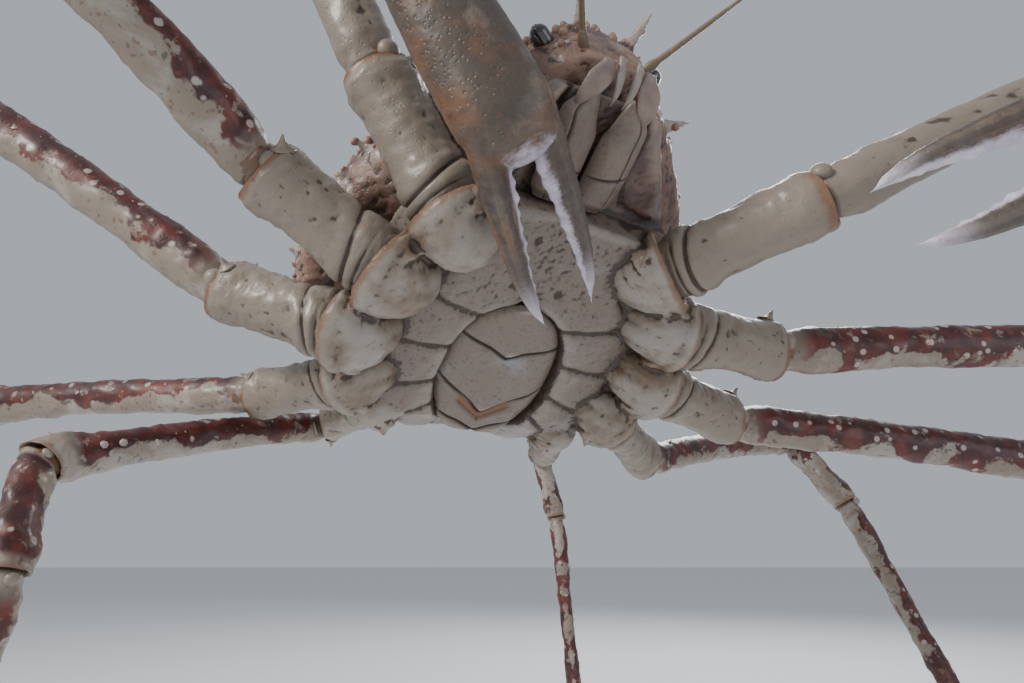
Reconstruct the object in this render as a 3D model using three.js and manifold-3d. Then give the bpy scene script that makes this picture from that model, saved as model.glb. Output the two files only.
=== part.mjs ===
// Giant spider crab, a life-size museum model of one animal in a natural walking stance.
// Millimetres, +Z up, floor at Z = 0. The animal looks towards -Y and slightly towards +X.
import * as THREE from 'three';
import { mergeVertices } from 'three/addons/utils/BufferGeometryUtils.js';
import Module from 'manifold-3d';

const wasm = await Module();
wasm.setup();
const { Manifold, Mesh: SolidMesh } = wasm;

// ---------------------------------------------------------------- driving dimensions
const GAP = 0.3;                        // clear gap between neighbouring solids
const HEADING = 27.8;                   // degrees the animal is turned towards +X from -Y
const NOSE_UP = 36.4;                   // degrees the front of the body is raised
const ROLL = 4.1;                       // degrees of roll about the body's long axis
const BODY_AT = new THREE.Vector3(-3, 491, 462);   // body centre before the final shift
const ORIGIN_SHIFT = new THREE.Vector3(-87, -488, 0);   // puts the origin under the model's middle
const HALF_WIDTH = 150;                 // carapace half width
const REAR_Y = 112;                     // carapace rear edge, body frame (-Y is the front)
const FRONT_Y = -205;                   // carapace front edge
const RIM_Z = 60;                       // height of the widest line above the sternum
const SPLIT_Z = 34;                     // plane where the carapace meets the underside
const MOUTH_Z = 21;                     // underside of the block that carries the mouthparts
const TOP_Z = 152;                      // highest point of the back
const FOOT_FLAT = 2.6;                  // radius of the flat worn on each foot tip
const SEAM_DEPTH = 3.5;                 // depth of the seams between the plates of the underside
const SEAM_HALF = 2.4;                  // half the width of such a seam
const SLIVER = 0.12;                    // faces thinner than this are closed after the unions
const TUBERCLES = 60;                   // thorny tubercles on the back

// Limb sizes by pair, 1 is the claw limb and 5 the last walking leg.
// coxa: where the hip ring sits in the body frame, for the animal's left side.
// reach: lengths of ischium, merus, carpus, propodus, dactylus.
// radius: of coxa, ischium, merus, carpus, propodus, dactylus.
const LIMBS = {
  1: { coxa: [78, -97, -9], reach: [110, 285, 116, 290, 112], radius: [28, 24, 20, 21, 27, 13] },
  2: { coxa: [108, -54, -14], reach: [100, 332, 118, 262, 170], radius: [27, 24, 18.5, 18, 14.5, 11] },
  3: { coxa: [120, -4, -14], reach: [98, 320, 112, 252, 165], radius: [26, 22, 17, 16.5, 13.5, 10.5] },
  4: { coxa: [106, 43, -5], reach: [92, 280, 96, 236, 155], radius: [24, 19, 14.5, 14.5, 12, 9.5] },
  5: { coxa: [74, 77, 12], reach: [85, 212, 80, 215, 155], radius: [20, 16, 12.5, 12, 10, 8.5] },
};

// Stance: [bearing, rise] in degrees of each segment. Bearing 0 points to -Y and 90 to +X.
// The last entry of a standing leg is a bearing only: its rise is whatever reaches the floor.
const STANCE = {
  right_1: [[-81, 62], [-75, 61], [58, -36], [106, -60], [151, -51]],
  left_1: [[66, 18], [88, 24], [38, 0], [-85, -29], [-99, -22]],
  right_2: [[-79, 38], [-40, 29], [-72, -25], [-76, -62], [-66, -74]],
  left_2: [[114, -2], [93, 1], [70, -45], [52, -72], [50]],
  right_3: [[-101, 21], [-88, 34], [-84, -32], [-80, -68], [-72, -80]],
  left_3: [[126, -12], [95, -7], [86, -32], [80, -56], [78]],
  right_4: [[-119, -2], [-106, 1], [-100, -55], [-86, -75], [-80]],
  left_4: [[151, -16], [132, 9], [46, -53], [61, -68], [70]],
  right_5: [[-138, -5], [-37, -13], [29, -51], [-100, -80], [-70]],
  left_5: [[-179, -6], [179, 6], [115, -74], [37, -82], [120]],
};

const SHELL = 0xcfc6ba;
const DARK = 0x5d2a25;
const OLIVE = 0x8a7558;

// ---------------------------------------------------------------- small tools
const rad = (degrees) => degrees * Math.PI / 180;
const vec = (x, y, z) => new THREE.Vector3(x, y, z);
const clamp = (value, low, high) => Math.min(high, Math.max(low, value));

function seeded(seed) {
  let state = seed;
  return () => {
    state = (state * 1664525 + 1013904223) % 4294967296;
    return state / 4294967296;
  };
}

const bodyTurn = new THREE.Matrix4().makeRotationZ(rad(HEADING))
  .multiply(new THREE.Matrix4().makeRotationX(-rad(NOSE_UP)))
  .multiply(new THREE.Matrix4().makeRotationY(rad(ROLL)));
const bodyFrame = bodyTurn.clone().setPosition(BODY_AT);
const inWorld = (point) => point.clone().applyMatrix4(bodyFrame);
const turned = (direction) => direction.clone().transformDirection(bodyTurn);

function heading(bearing, rise) {
  const flat = Math.cos(rad(rise));
  return vec(flat * Math.sin(rad(bearing)), -flat * Math.cos(rad(bearing)), Math.sin(rad(rise)));
}

// A closed skin through rings that all have the same number of points.
function loft(rings) {
  const count = rings[0].length;
  const points = [];
  const faces = [];
  for (const ring of rings) {
    for (const point of ring) {
      points.push(point.x, point.y, point.z);
    }
  }
  const capCentre = (ring) => {
    const middle = vec(0, 0, 0);
    ring.forEach((point) => middle.add(point));
    middle.divideScalar(ring.length);
    points.push(middle.x, middle.y, middle.z);
    return points.length / 3 - 1;
  };
  const first = capCentre(rings[0]);
  const last = capCentre(rings[rings.length - 1]);
  const lastRow = (rings.length - 1) * count;
  for (let side = 0; side < count; side += 1) {
    const next = (side + 1) % count;
    for (let row = 0; row < rings.length - 1; row += 1) {
      const low = row * count;
      const high = low + count;
      faces.push(low + side, low + next, high + next);
      faces.push(low + side, high + next, high + side);
    }
    faces.push(first, next, side);
    faces.push(last, lastRow + side, lastRow + next);
  }
  return outward(points, faces);
}

// Puts points and faces into a geometry whose faces point out of the solid.
function outward(points, faces) {
  let volume = 0;
  const at = (index) => vec(points[3 * index], points[3 * index + 1], points[3 * index + 2]);
  for (let i = 0; i < faces.length; i += 3) {
    volume += at(faces[i]).dot(at(faces[i + 1]).cross(at(faces[i + 2])));
  }
  const order = volume < 0 ? faces.slice().reverse() : faces;
  const geometry = new THREE.BufferGeometry();
  geometry.setAttribute('position', new THREE.Float32BufferAttribute(points, 3));
  geometry.setIndex(order);
  return geometry;
}

function solid(geometry) {
  const clean = mergeVertices(geometry, 1e-4);
  return new Manifold(new SolidMesh({
    numProp: 3,
    vertProperties: Float32Array.from(clean.getAttribute('position').array),
    triVerts: Uint32Array.from(clean.getIndex().array),
  }));
}

// The largest closed surface of a joined or cut solid.
function surface(shape) {
  const pieces = shape.decompose();
  let best = pieces[0];
  for (const piece of pieces) {
    if (piece.volume() > best.volume()) {
      best = piece;
    }
  }
  const mesh = best.getMesh();
  const geometry = new THREE.BufferGeometry();
  const points = [];
  for (let i = 0; i < mesh.vertProperties.length; i += mesh.numProp) {
    points.push(mesh.vertProperties[i], mesh.vertProperties[i + 1], mesh.vertProperties[i + 2]);
  }
  geometry.setAttribute('position', new THREE.Float32BufferAttribute(points, 3));
  geometry.setIndex(Array.from(mesh.triVerts));
  return geometry;
}

function joined(base, extras) {
  let shape = solid(base);
  for (const extra of extras) {
    shape = shape.add(solid(extra));
  }
  return surface(shape);
}

// A thorn: a leaning five-sided cone whose root lies inside the surface it stands on.
function thorn(root, direction, length, radius) {
  const along = direction.clone().normalize();
  const across = Math.abs(along.z) < 0.9 ? vec(0, 0, 1) : vec(1, 0, 0);
  const u = across.clone().cross(along).normalize();
  const v = along.clone().cross(u);
  const ringAt = (distance, size) => {
    const ring = [];
    for (let i = 0; i < 5; i += 1) {
      const angle = 2 * Math.PI * i / 5;
      ring.push(root.clone().addScaledVector(along, distance)
        .addScaledVector(u, size * Math.cos(angle))
        .addScaledVector(v, size * Math.sin(angle)));
    }
    return ring;
  };
  const tip = root.clone().addScaledVector(along, length);
  const base = ringAt(-radius * 0.9, radius);
  const points = [...base, tip, root.clone().addScaledVector(along, -radius * 0.9)];
  const faces = [];
  for (let i = 0; i < 5; i += 1) {
    const next = (i + 1) % 5;
    faces.push(i, next, 5);
    faces.push(next, i, 6);
  }
  return outward(points.flatMap((point) => [point.x, point.y, point.z]), faces);
}

// ---------------------------------------------------------------- limbs
// Joint centres of one limb, from the hip ring to the tip.
function jointsOf(side, pair) {
  const limb = LIMBS[pair];
  const sign = side === 'left' ? 1 : -1;
  const points = [inWorld(vec(sign * limb.coxa[0], limb.coxa[1], limb.coxa[2]))];
  STANCE[`${side}_${pair}`].forEach((aim, index) => {
    const from = points[points.length - 1];
    const length = limb.reach[index];
    const rise = aim.length > 1 ? aim[1] : Math.asin(-clamp(from.z / length, 0, 1)) * 180 / Math.PI;
    points.push(from.clone().addScaledVector(heading(aim[0], rise), length));
  });
  return points;
}

// One limb segment between two joint planes. Each profile entry is [part of length, radius].
function segment(spec) {
  const { from, to, startNormal, endNormal, profile, sides, flat, bow, up } = spec;
  const axis = to.clone().sub(from);
  const length = axis.length();
  axis.normalize();
  const u = up.clone().addScaledVector(axis, -up.dot(axis)).normalize();
  const v = axis.clone().cross(u);
  const rings = profile.map(([part, radius]) => {
    const centre = from.clone().addScaledVector(axis, part * length)
      .addScaledVector(u, bow * Math.sin(Math.PI * part));
    const ring = [];
    for (let i = 0; i < sides; i += 1) {
      const angle = 2 * Math.PI * i / sides;
      const offset = u.clone().multiplyScalar(radius * Math.cos(angle))
        .addScaledVector(v, radius * flat * Math.sin(angle));
      let slide = 0;
      const startLean = -offset.dot(startNormal) / axis.dot(startNormal);
      const endLean = -offset.dot(endNormal) / axis.dot(endNormal);
      const startReach = 2 * radius * Math.tan(startNormal.angleTo(axis)) + 4;
      const endReach = 2 * radius * Math.tan(endNormal.angleTo(axis)) + 4;
      slide += startLean * Math.max(0, 1 - part * length / startReach);
      slide += endLean * Math.max(0, 1 - (1 - part) * length / endReach);
      ring.push(centre.clone().add(offset).addScaledVector(axis, slide));
    }
    return ring;
  });
  return loft(rings);
}

const bisector = (before, after) => before.clone().add(after).normalize();

// Lengthwise swellings: [part of length, share of the segment's radius].
const SHAPES = {
  ischium: [[0, 0.92], [0.12, 1.06], [0.4, 0.92], [0.75, 0.96], [0.9, 1.04], [1, 0.92]],
  merus: [[0, 0.86], [0.06, 1.0], [0.3, 0.92], [0.6, 0.94], [0.86, 1.06], [0.95, 1.22], [1, 1.0]],
  carpus: [[0, 0.84], [0.16, 1.02], [0.5, 0.94], [0.85, 1.1], [1, 0.92]],
  propodus: [[0, 0.84], [0.06, 1.06], [0.3, 0.92], [0.7, 0.86], [0.93, 1.04], [1, 0.84]],
  dactylus: [[0, 0.84], [0.07, 1.0], [0.3, 0.86], [0.6, 0.62], [0.85, 0.4], [1, 0]],
};
const NAMES = ['ischium', 'merus', 'carpus', 'propodus', 'dactylus'];

const meshes = [];
function put(name, geometry, colour) {
  geometry.deleteAttribute('normal');
  geometry.deleteAttribute('uv');
  geometry.translate(ORIGIN_SHIFT.x, ORIGIN_SHIFT.y, ORIGIN_SHIFT.z);
  const material = new THREE.MeshStandardMaterial({ color: colour, roughness: 0.6 });
  const mesh = new THREE.Mesh(geometry, material);
  mesh.name = name;
  meshes.push(mesh);
}

function directionsOf(points) {
  const directions = [];
  for (let i = 0; i < points.length - 1; i += 1) {
    directions.push(points[i + 1].clone().sub(points[i]).normalize());
  }
  return directions;
}

// The outer side of each segment: square to it, in the plane in which the limb bends.
function outerSides(directions) {
  const hinge = directions[1].clone().cross(directions[3]).normalize();
  if (hinge.clone().cross(directions[1]).z < 0) {
    hinge.negate();
  }
  return directions.map((along) => {
    const square = hinge.clone().addScaledVector(along, -hinge.dot(along));
    return square.cross(along).normalize();
  });
}

// A spur near the far end of a limb segment, on its outer side.
function spur(from, to, out, radius, part, length) {
  const along = to.clone().sub(from);
  const root = from.clone().addScaledVector(along, part).addScaledVector(out, radius * 0.86);
  const lean = out.clone().addScaledVector(along.normalize(), 0.5);
  return thorn(root, lean, length, length * 0.42);
}

function walkingLeg(side, pair) {
  const limb = LIMBS[pair];
  const points = jointsOf(side, pair);
  const directions = directionsOf(points);
  const outer = outerSides(directions);
  const standing = STANCE[`${side}_${pair}`][4].length === 1;
  const down = vec(0, 0, -1);
  for (let i = 0; i < 5; i += 1) {
    const startNormal = i === 0 ? directions[0] : bisector(directions[i - 1], directions[i]);
    let endNormal = i === 4 ? directions[4] : bisector(directions[i], directions[i + 1]);
    if (i === 4 && standing) {
      endNormal = down;
    }
    const radius = limb.radius[i + 1];
    const profile = SHAPES[NAMES[i]].map(([part, share]) => [part, Math.max(radius * share, FOOT_FLAT)]);
    const halfGap = GAP / 2 / Math.max(0.3, startNormal.dot(directions[i]));
    const endGap = i === 4 ? 0 : GAP / 2 / Math.max(0.3, endNormal.dot(directions[i]));
    const start = points[i].clone().addScaledVector(directions[i], halfGap);
    const end = points[i + 1].clone().addScaledVector(directions[i], -endGap);
    let geometry = segment({
      from: start,
      to: end,
      startNormal,
      endNormal,
      profile,
      sides: 12,
      flat: 0.9,
      bow: i === 1 ? radius * 0.25 : 0,
      up: vec(0, 0, 1),
    });
    if (i < 2) {
      const part = [0.84, 0.93][i];
      geometry = joined(geometry, [spur(start, end, outer[i], radius, part, radius * 0.6)]);
    }
    put(`leg_${side}_${pair}_${NAMES[i]}`, geometry, i === 1 || i === 3 ? DARK : SHELL);
  }
}

function clawLimb(side) {
  const limb = LIMBS[1];
  const points = jointsOf(side, 1);
  const directions = directionsOf(points);
  const outer = outerSides(directions);
  const claws = ['ischium', 'merus', 'carpus'];
  for (let i = 0; i < 3; i += 1) {
    const startNormal = i === 0 ? directions[0] : bisector(directions[i - 1], directions[i]);
    const endNormal = bisector(directions[i], directions[i + 1]);
    const radius = limb.radius[i + 1];
    const halfGap = GAP / 2 / Math.max(0.3, startNormal.dot(directions[i]));
    const endGap = GAP / 2 / Math.max(0.3, endNormal.dot(directions[i]));
    const geometry = segment({
      from: points[i].clone().addScaledVector(directions[i], halfGap),
      to: points[i + 1].clone().addScaledVector(directions[i], -endGap),
      startNormal,
      endNormal,
      profile: SHAPES[claws[i]].map(([part, share]) => [part, radius * share]),
      sides: 12,
      flat: 0.92,
      bow: i === 1 ? radius * 0.5 : 0,
      up: vec(0, 0, 1),
    });
    const from = points[i];
    const to = points[i + 1];
    const spurs = [spur(from, to, outer[i], radius, 0.84, radius * 0.55)];
    put(`claw_${side}_${claws[i]}`, joined(geometry, spurs), SHELL);
  }
  palmAndFinger(side, points, directions);
}

// The palm carries the fixed finger. The moving finger closes against it from the other side.
function palmAndFinger(side, points, directions) {
  const radius = LIMBS[1].radius[4];
  const wrist = points[3];
  const knuckle = points[4];
  const along = directions[3];
  const reachDirection = directions[4];
  const length = LIMBS[1].reach[3];
  const finger = LIMBS[1].reach[4];
  const across = side === 'right' ? vec(1, 0.15, 0.3) : vec(0.3, 0.1, 1);
  const spread = across.addScaledVector(along, -across.dot(along)).normalize();
  const startNormal = bisector(directions[2], along);
  const halfGap = GAP / 2 / Math.max(0.3, startNormal.dot(along));
  const palm = segment({
    from: wrist.clone().addScaledVector(along, halfGap),
    to: knuckle.clone().addScaledVector(along, 10),
    startNormal,
    endNormal: along,
    profile: [[0, 0.62], [0.06, 0.8], [0.25, 0.84], [0.55, 0.92], [0.82, 1.1], [0.94, 1.12], [1, 0.9]]
      .map(([part, share]) => [part, radius * share]),
    sides: 14,
    flat: 0.72,
    bow: 0,
    up: spread,
  });
  const tip = knuckle.clone().addScaledVector(reachDirection, finger);
  const fixed = curvedFinger(knuckle, tip, along, spread, -1, radius, length);
  const moving = curvedFinger(knuckle, tip, along, spread, 1, radius, length);
  const fullPalm = solid(palm).add(solid(fixed));
  const box = cutBlock(knuckle, along, spread, radius);
  put(`claw_${side}_palm`, surface(fullPalm.subtract(solid(box.room))), OLIVE);
  put(`claw_${side}_dactylus`, surface(solid(moving).intersect(solid(box.keep))), OLIVE);
}

// A finger that leaves the palm on one side and bends back in to its tip.
function curvedFinger(knuckle, tip, along, spread, sign, radius) {
  const reach = tip.clone().sub(knuckle);
  const stations = [
    [-0.35, 0.5, 0.42], [-0.05, 0.62, 0.5], [0.2, 0.68, 0.45], [0.45, 0.74, 0.36],
    [0.7, 0.76, 0.26], [0.88, 0.7, 0.15], [1, 0.6, 0.03],
  ];
  const thick = along.clone().cross(spread).normalize();
  const rings = stations.map(([part, out, size]) => {
    const centre = knuckle.clone().addScaledVector(reach, part)
      .addScaledVector(spread, sign * radius * out);
    const ring = [];
    for (let i = 0; i < 10; i += 1) {
      const angle = 2 * Math.PI * i / 10;
      ring.push(centre.clone().addScaledVector(spread, radius * size * 0.85 * Math.cos(angle))
        .addScaledVector(thick, radius * size * Math.sin(angle)));
    }
    return ring;
  });
  return loft(rings);
}

// Two boxes that share a plane: one clears the palm, the other keeps the moving finger beyond it.
function cutBlock(knuckle, along, spread, radius) {
  const block = (start, end, low, high) => {
    const geometry = new THREE.BoxGeometry(high - low, radius * 5, end - start);
    geometry.translate((low + high) / 2, 0, (start + end) / 2);
    const thick = along.clone().cross(spread).normalize();
    const frame = new THREE.Matrix4().makeBasis(spread, thick, along).setPosition(knuckle);
    geometry.applyMatrix4(frame);
    geometry.deleteAttribute('normal');
    geometry.deleteAttribute('uv');
    return geometry;
  };
  return {
    room: block(-10, radius * 8, 2, radius * 5),
    keep: block(-10 + GAP, radius * 8, 2 + GAP, radius * 5),
  };
}

// ---------------------------------------------------------------- body
// Half width of the body outline at a place along its length.
function halfWidth(y) {
  if (y > 0) {
    return HALF_WIDTH * Math.sqrt(Math.max(0, 1 - Math.pow(y / REAR_Y, 2.4)));
  }
  return HALF_WIDTH * Math.max(0, 1 - Math.pow(y / (FRONT_Y - 20), 2));
}

// Height of the back along the middle line.
function backHeight(y) {
  const part = clamp((REAR_Y - y) / (REAR_Y - FRONT_Y), 0, 1);
  const rear = Math.sqrt(Math.max(0, 1 - Math.pow(1 - clamp(part / 0.34, 0, 1), 2)));
  const fall = 1 - 0.5 * Math.pow(clamp((part - 0.34) / 0.66, 0, 1), 1.5);
  return RIM_Z + (TOP_Z - RIM_Z) * rear * fall;
}

const BODY_STATIONS = [108, 98, 82, 60, 34, 4, -28, -60, -90, -116, -138, -158, -176, -192, -202];

function carapace() {
  const rings = BODY_STATIONS.map((y) => {
    const wide = halfWidth(y);
    const top = backHeight(y);
    const ring = [];
    const steps = 18;
    for (let i = 0; i <= steps; i += 1) {
      const angle = Math.PI * (i / steps);
      const x = wide * Math.sign(Math.cos(angle)) * Math.pow(Math.abs(Math.cos(angle)), 0.85);
      ring.push(vec(x, y, RIM_Z + (top - RIM_Z) * Math.pow(Math.sin(angle), 0.9)));
    }
    ring.push(vec(-wide * 0.96, y, RIM_Z - 12));
    ring.push(vec(-wide * 0.76, y, SPLIT_Z + GAP));
    ring.push(vec(wide * 0.76, y, SPLIT_Z + GAP));
    ring.push(vec(wide * 0.96, y, RIM_Z - 12));
    return ring;
  });
  const shell = loft(rings);
  const thorns = [];
  const addThorn = (x, y, z, dx, dy, dz, length, radius) => {
    thorns.push(thorn(vec(x, y, z), vec(dx, dy, dz), length, radius));
  };
  for (const sign of [-1, 1]) {
    addThorn(sign * 14, FRONT_Y + 10, 70, sign * 0.35, -1, 0.25, 46, 8);
    addThorn(sign * 40, -178, 82, sign * 0.8, -0.5, 0.5, 26, 7);
    addThorn(sign * 58, -128, RIM_Z + 8, sign, -0.5, 0.1, 24, 7);
    for (let i = 0; i < 6; i += 1) {
      const y = -92 + i * 30;
      addThorn(sign * (halfWidth(y) - 5), y, RIM_Z + 6, sign, -0.25, 0.25, 20 - i, 7);
    }
  }
  const random = seeded(11);
  for (let i = 0; i < TUBERCLES; i += 1) {
    const y = -160 + 254 * ((i + 0.5) / TUBERCLES);
    const side = ((2 * i) % 5 - 2) * 0.37 + 0.14 * (random() - 0.5);
    const x = side * halfWidth(y);
    const z = RIM_Z + (backHeight(y) - RIM_Z) * Math.sqrt(1 - side * side) - 2.5;
    addThorn(x, y, z, side, -0.15, 1, 9 + 7 * random(), 4.6);
  }
  const geometry = joined(shell, thorns);
  geometry.applyMatrix4(bodyFrame);
  let shape = solid(geometry);
  for (const side of ['left', 'right']) {
    for (const pair of [1, 5]) {
      shape = shape.subtract(solid(ischiumRoom(side, pair)));
    }
  }
  for (const sign of [-1, 1]) {
    shape = shape.subtract(solid(feature(sign, EYE, GAP)));
    shape = shape.subtract(solid(feature(sign, ANTENNA, GAP)));
  }
  put('carapace', surface(shape), 0x9a8078);
}

// Eyes and feelers sit in shallow sockets of the carapace front.
const EYE = {
  root: [27, -186, 66],
  aim: [0.82, -0.55, 0.2],
  length: 26,
  profile: [[0, 4.5], [0.3, 4.6], [0.55, 6.6], [0.8, 6.4], [0.94, 4.2], [1, 1.6]],
};
const ANTENNA = {
  root: [16, -192, 46],
  aim: [0.5, -0.86, -0.1],
  length: 96,
  profile: [[0, 3.6], [0.2, 3.4], [0.24, 2.2], [0.6, 1.6], [1, 0.8]],
};

function feature(sign, kind, grow) {
  const aim = turned(vec(sign * kind.aim[0], kind.aim[1], kind.aim[2]));
  const from = inWorld(vec(sign * kind.root[0], kind.root[1], kind.root[2]));
  return segment({
    from: from.clone().addScaledVector(aim, -grow),
    to: from.clone().addScaledVector(aim, kind.length + grow),
    startNormal: aim,
    endNormal: aim,
    profile: kind.profile.map(([part, radius]) => [part, radius + grow]),
    sides: 10,
    flat: 1,
    bow: 0,
    up: vec(0, 0, 1),
  });
}

// Seams between the plates of the underside: [y on the middle line, slope with |x|].
const PLATE_SEAMS = [[28, 0.69], [18, 0.33], [1, 0.03], [-15, -0.33]];

// One ring of the underside block. Its y may run askew, and sink lowers its plates into a seam.
function undersideRing(y, slope, sink) {
  const wide = 0.76 * halfWidth(y + slope * 0.76 * halfWidth(y + slope * 80));
  const floorWide = Math.min(wide * 0.9, 62 - 18 * clamp((y + slope * 55 - 20) / 80, 0, 1));
  const floor = y > -112 ? -6 : MOUTH_Z;
  const shape = [[-1, wide, 0], [-0.94, wide, 1], [-1, floorWide, 2], [-0.4, floorWide, 3], [0, wide, 4],
    [0.4, floorWide, 3], [1, floorWide, 2], [0.94, wide, 1], [1, wide, 0]];
  const ring = shape.map(([share, reach, kind]) => {
    const x = share * reach;
    const place = y + slope * Math.abs(x);
    const low = floor + 24 * clamp((place - 66) / 34, 0, 1);
    const heights = [SPLIT_Z + 3, low + 9 + sink, low + sink, low + 8 + sink, low + 12];
    return vec(x, place, heights[kind]);
  });
  ring.push(vec(0, y, SPLIT_Z + 3));
  return ring;
}

function thorax() {
  const rings = [undersideRing(100, 0, 0), undersideRing(90, 0, 0)];
  PLATE_SEAMS.forEach(([y, slope], index) => {
    const next = PLATE_SEAMS[index + 1] || [-62, -0.1];
    rings.push(undersideRing(y + SEAM_HALF, slope, -0.6));
    rings.push(undersideRing(y, slope, SEAM_DEPTH));
    rings.push(undersideRing(y - SEAM_HALF, slope, -0.6));
    rings.push(undersideRing((y + next[0]) / 2, (slope + next[1]) / 2, -1.6));
  });
  for (const y of [-72, -90, -110, -113, -130, -150, -170, -184]) {
    rings.push(undersideRing(y, 0, 0));
  }
  const base = loft(rings);
  base.applyMatrix4(bodyFrame);
  let shape = solid(base);
  for (const side of ['left', 'right']) {
    for (const pair of [1, 2, 3, 4, 5]) {
      for (const extra of [hip(side, pair), ...hipKnobs(side, pair)]) {
        shape = shape.add(solid(extra));
      }
    }
  }
  shape = shape.subtract(solid(pleonBlock(GAP)));
  for (const side of ['left', 'right']) {
    for (const pair of [1, 2, 3, 4, 5]) {
      shape = shape.subtract(solid(ischiumRoom(side, pair)));
    }
  }
  shape = shape.subtract(solid(topBlock())).asOriginal().simplify(SLIVER);
  put('thorax', surface(shape), SHELL);
}

// The hip of a limb: a bent tube that grows out of the underside and ends in a cup face.
function hip(side, pair) {
  const limb = LIMBS[pair];
  const points = jointsOf(side, pair);
  const direction = points[1].clone().sub(points[0]).normalize();
  const sign = side === 'left' ? 1 : -1;
  const radius = limb.radius[0];
  const root = inWorld(vec(sign * limb.coxa[0] * 0.78, limb.coxa[1] * 0.9, 12));
  const end = points[0].clone().addScaledVector(direction, -GAP / 2);
  const knee = end.clone().addScaledVector(direction, -radius * 0.75);
  const path = new THREE.QuadraticBezierCurve3(root, knee, end);
  const shares = [[0, 0.7], [0.35, 0.8], [0.65, 0.92], [0.88, 1.05], [1, 0.97]];
  const across = vec(0, 0, 1);
  const rings = shares.map(([part, share]) => {
    const centre = path.getPoint(part);
    const along = part === 1 ? direction : path.getTangent(part);
    const u = across.clone().addScaledVector(along, -across.dot(along)).normalize();
    const v = along.clone().cross(u);
    const ring = [];
    for (let i = 0; i < 12; i += 1) {
      const angle = 2 * Math.PI * i / 12;
      ring.push(centre.clone().addScaledVector(u, radius * share * Math.cos(angle))
        .addScaledVector(v, radius * share * Math.sin(angle)));
    }
    return ring;
  });
  return loft(rings);
}

// The two knobs of the hinge at the rim of a hip cup, behind it and in front of it.
function hipKnobs(side, pair) {
  const points = jointsOf(side, pair);
  const direction = points[1].clone().sub(points[0]).normalize();
  const radius = LIMBS[pair].radius[0];
  return [1, -1].map((way) => {
    const out = turned(vec(0, way, -0.3));
    out.addScaledVector(direction, -out.dot(direction)).normalize();
    const root = points[0].clone().addScaledVector(out, radius * 0.9).addScaledVector(direction, -4);
    return thorn(root, out.addScaledVector(direction, 0.4), radius * (0.4 + 0.08 * way), radius * 0.26);
  });
}

// Room for the first limb segment beside the body: the segment itself, slightly fatter.
function ischiumRoom(side, pair) {
  const points = jointsOf(side, pair);
  const directions = directionsOf(points);
  const radius = LIMBS[pair].radius[1] * 1.04 + 1.2;
  return segment({
    from: points[0].clone().addScaledVector(directions[0], -GAP / 2),
    to: points[1].clone().addScaledVector(directions[0], 12),
    startNormal: directions[0],
    endNormal: directions[0],
    profile: [[0, radius], [0.5, radius], [1, radius]],
    sides: 12,
    flat: 1,
    bow: 0,
    up: vec(0, 0, 1),
  });
}

// Everything above the plane where the carapace begins.
function topBlock() {
  const geometry = new THREE.BoxGeometry(500, 500, 200);
  geometry.translate(0, 0, SPLIT_Z + 100);
  geometry.deleteAttribute('normal');
  geometry.deleteAttribute('uv');
  geometry.applyMatrix4(bodyFrame);
  return geometry;
}

function pleonBlock(grow) {
  const outline = [];
  const corners = [[0, -32], [26, -26], [44, -4], [46, 24], [34, 52], [22, 84]];
  for (const [x, y] of corners) {
    outline.push([x + (x > 0 ? grow : 0), y - grow]);
  }
  for (const [x, y] of corners.slice(1).reverse()) {
    outline.push([-x - grow, y - grow]);
  }
  const low = outline.map(([x, y]) => inWorld(vec(x, y, -16)));
  const high = outline.map(([x, y]) => inWorld(vec(x, y, 12 + grow)));
  return loft([low, high]);
}

// Rings of the tail plate: [y on the middle line, slope with |x|, half width, sink].
// The two sunk rings are the seams between its segments.
const TAIL_RINGS = [
  [-31.5, 0, 20, 0], [-18, 0, 34, 0], [1.6, -0.32, 42, 0], [4, -0.32, 42, 2.6], [6.4, -0.32, 42, 0],
  [30, -0.5, 45, -0.8], [56.6, -0.65, 44, 0], [59, -0.65, 44, 2.6], [61.4, -0.65, 44, 0],
  [72, -0.3, 34, 0], [78, 0, 24, 0],
];

function pleon() {
  const rings = TAIL_RINGS.map(([y, slope, wide, sink]) => {
    const ring = [];
    for (let i = 0; i < 10; i += 1) {
      const angle = Math.PI * i / 9;
      const x = wide * Math.cos(angle);
      const inside = Math.min(1, 3 * Math.sin(angle));
      ring.push(vec(x, y + slope * Math.abs(x), 6 - 8 * Math.sin(angle) + sink * inside));
    }
    ring.push(vec(-wide, y + slope * wide, 16));
    ring.push(vec(wide, y + slope * wide, 16));
    return ring;
  });
  const plate = loft(rings);
  plate.applyMatrix4(bodyFrame);
  put('pleon', surface(solid(plate).intersect(solid(pleonBlock(0)))), SHELL);
}

// The outer mouthparts: two long leaf-shaped plates side by side under the front.
function mouthparts() {
  for (const [side, sign] of [['left', 1], ['right', -1]]) {
    const rings = [-114, -122, -138, -156, -172, -180].map((y, index) => {
      const wide = [25, 32, 31, 27, 21, 10][index];
      const low = [16, 9, 7, 9, 13, 17][index];
      const inner = sign * 1.5;
      const across = (share) => inner + sign * wide * share;
      return [
        vec(across(0), y, MOUTH_Z - GAP), vec(across(0.02), y, low + 5), vec(across(0.2), y, low + 1),
        vec(across(0.5), y, low), vec(across(0.8), y, low + 1.5), vec(across(0.98), y, low + 5),
        vec(across(1), y, MOUTH_Z - GAP),
      ];
    });
    const plate = loft(rings);
    plate.applyMatrix4(bodyFrame);
    put(`maxilliped_${side}`, plate, SHELL);
  }
}

clawLimb('left');
clawLimb('right');
for (const side of ['left', 'right']) {
  for (const pair of [2, 3, 4, 5]) {
    walkingLeg(side, pair);
  }
}
carapace();
for (const [side, sign] of [['left', 1], ['right', -1]]) {
  put(`eye_${side}`, feature(sign, EYE, 0), 0x151214);
  put(`antenna_${side}`, feature(sign, ANTENNA, 0), SHELL);
}
thorax();
pleon();
mouthparts();

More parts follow.
